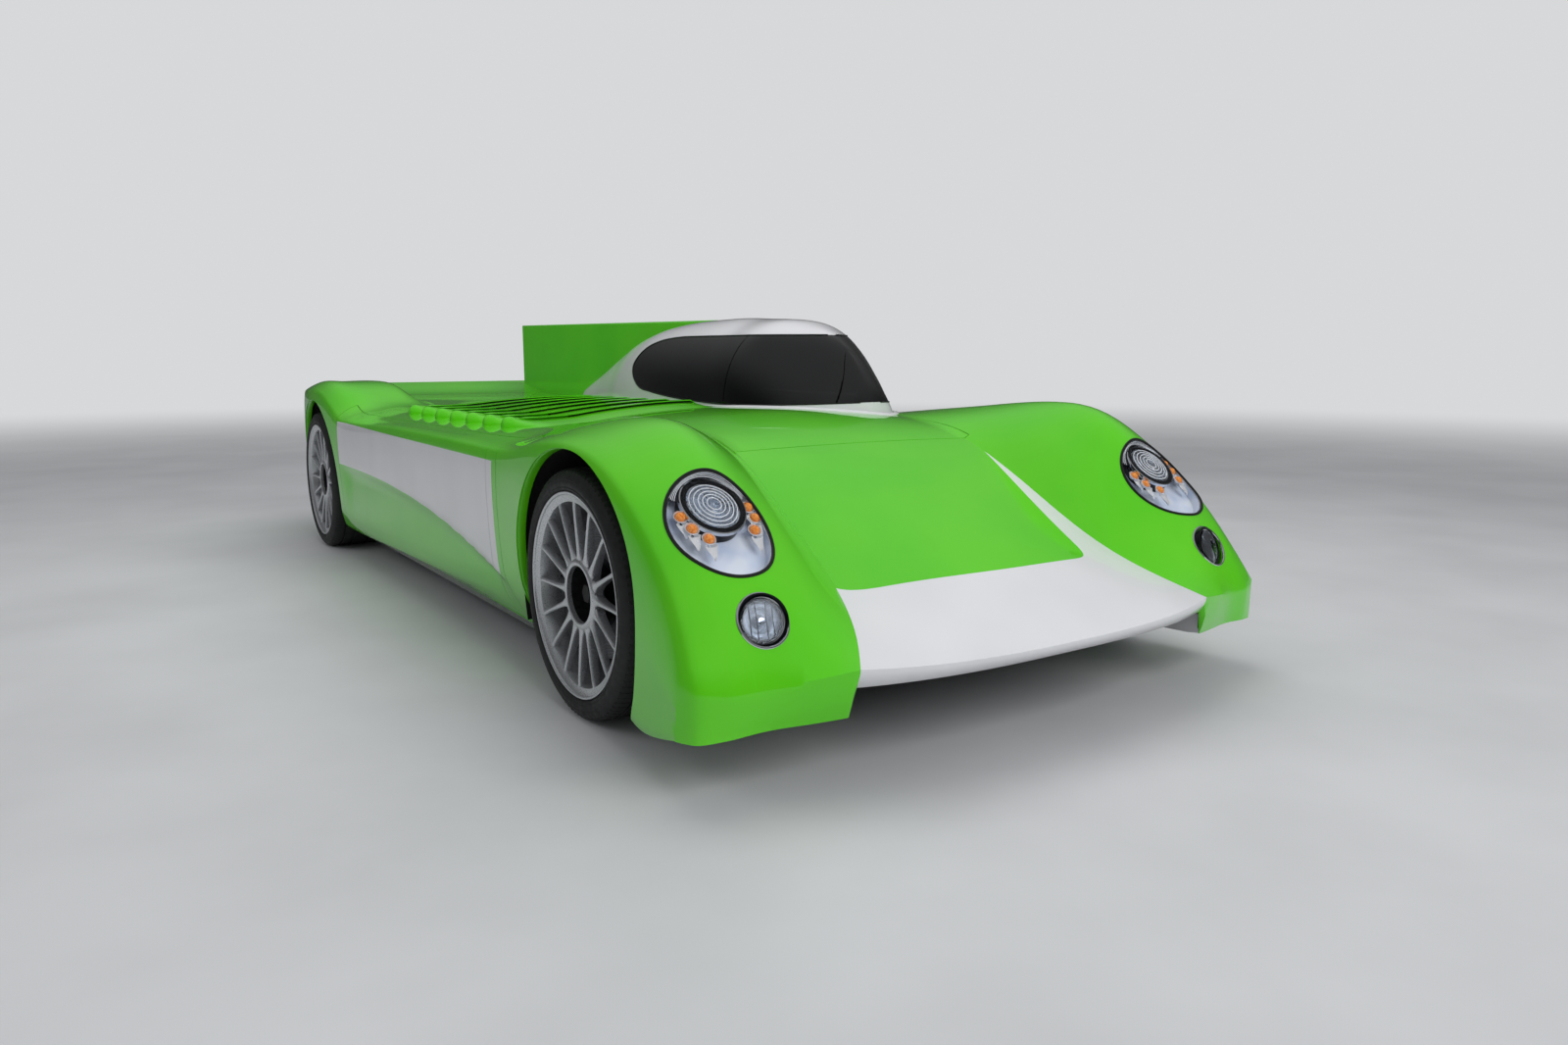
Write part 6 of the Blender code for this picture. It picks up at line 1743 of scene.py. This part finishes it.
def make_floor():
    """Pale sealed concrete that turns into the backdrop far off, as a studio cove does."""
    material = bpy.data.materials.new("pale_sealed_concrete_floor")
    material.use_nodes = True
    tree = material.node_tree
    shader = tree.nodes["Principled BSDF"]
    place = add(tree, "ShaderNodeTexCoord").outputs["Object"]
    tones(tree, shader, noise(tree, place, 1.3, 6.0), "#c4c5c7", "#cdced0")
    shader.inputs["Roughness"].default_value = 0.55
    far_off = add(tree, "ShaderNodeVectorMath", operation="LENGTH", links={0: place})
    fade = add(tree, "ShaderNodeMapRange", interpolation_type="SMOOTHSTEP",
               values={"From Min": cove_start, "From Max": cove_end},
               links={"Value": far_off.outputs["Value"]})
    seen = add(tree, "ShaderNodeLightPath").outputs["Is Camera Ray"]
    share = add(tree, "ShaderNodeMath", operation="MULTIPLY",
                links={0: fade.outputs["Result"], 1: seen})
    cove = add(tree, "ShaderNodeEmission",
               values={"Color": linear(backdrop), "Strength": backdrop_level})
    sweep = add(tree, "ShaderNodeMixShader",
                links={0: share.outputs["Value"], 1: shader.outputs[0], 2: cove.outputs[0]})
    tree.links.new(sweep.outputs[0], tree.nodes["Material Output"].inputs["Surface"])
    corners = [(-1, -1), (1, -1), (1, 1), (-1, 1)]
    mesh = mesh_of("floor", [(x * floor_reach, y * floor_reach, 0) for x, y in corners],
                   [(0, 1, 2, 3)])
    mesh.materials.append(material)
    floor = linked("floor", mesh)


def make_room():
    """Camera, backdrop, floor and soft studio light."""
    make_camera()
    make_world()
    make_floor()
    for name, (place, aim, size, power) in soft_boxes.items():
        data = bpy.data.lights.new(name, "AREA")
        data.shape = "RECTANGLE"
        data.size, data.size_y = size
        data.energy = power
        light = linked(name, data)
        light.location = place
        light.visible_glossy = False
        light.rotation_euler = (Vector(aim) - Vector(place)).to_track_quat("-Z", "Y").to_euler()


make_paints()
make_plain_finishes()
make_patterned_finishes()
make_room()
make_body()
make_arch_details()
make_canopy()
make_fin()
make_louvres()
make_wheels()
make_headlamps()
make_fog_lamps()
make_tail()
make_cockpit()
dress_cad_nodes()
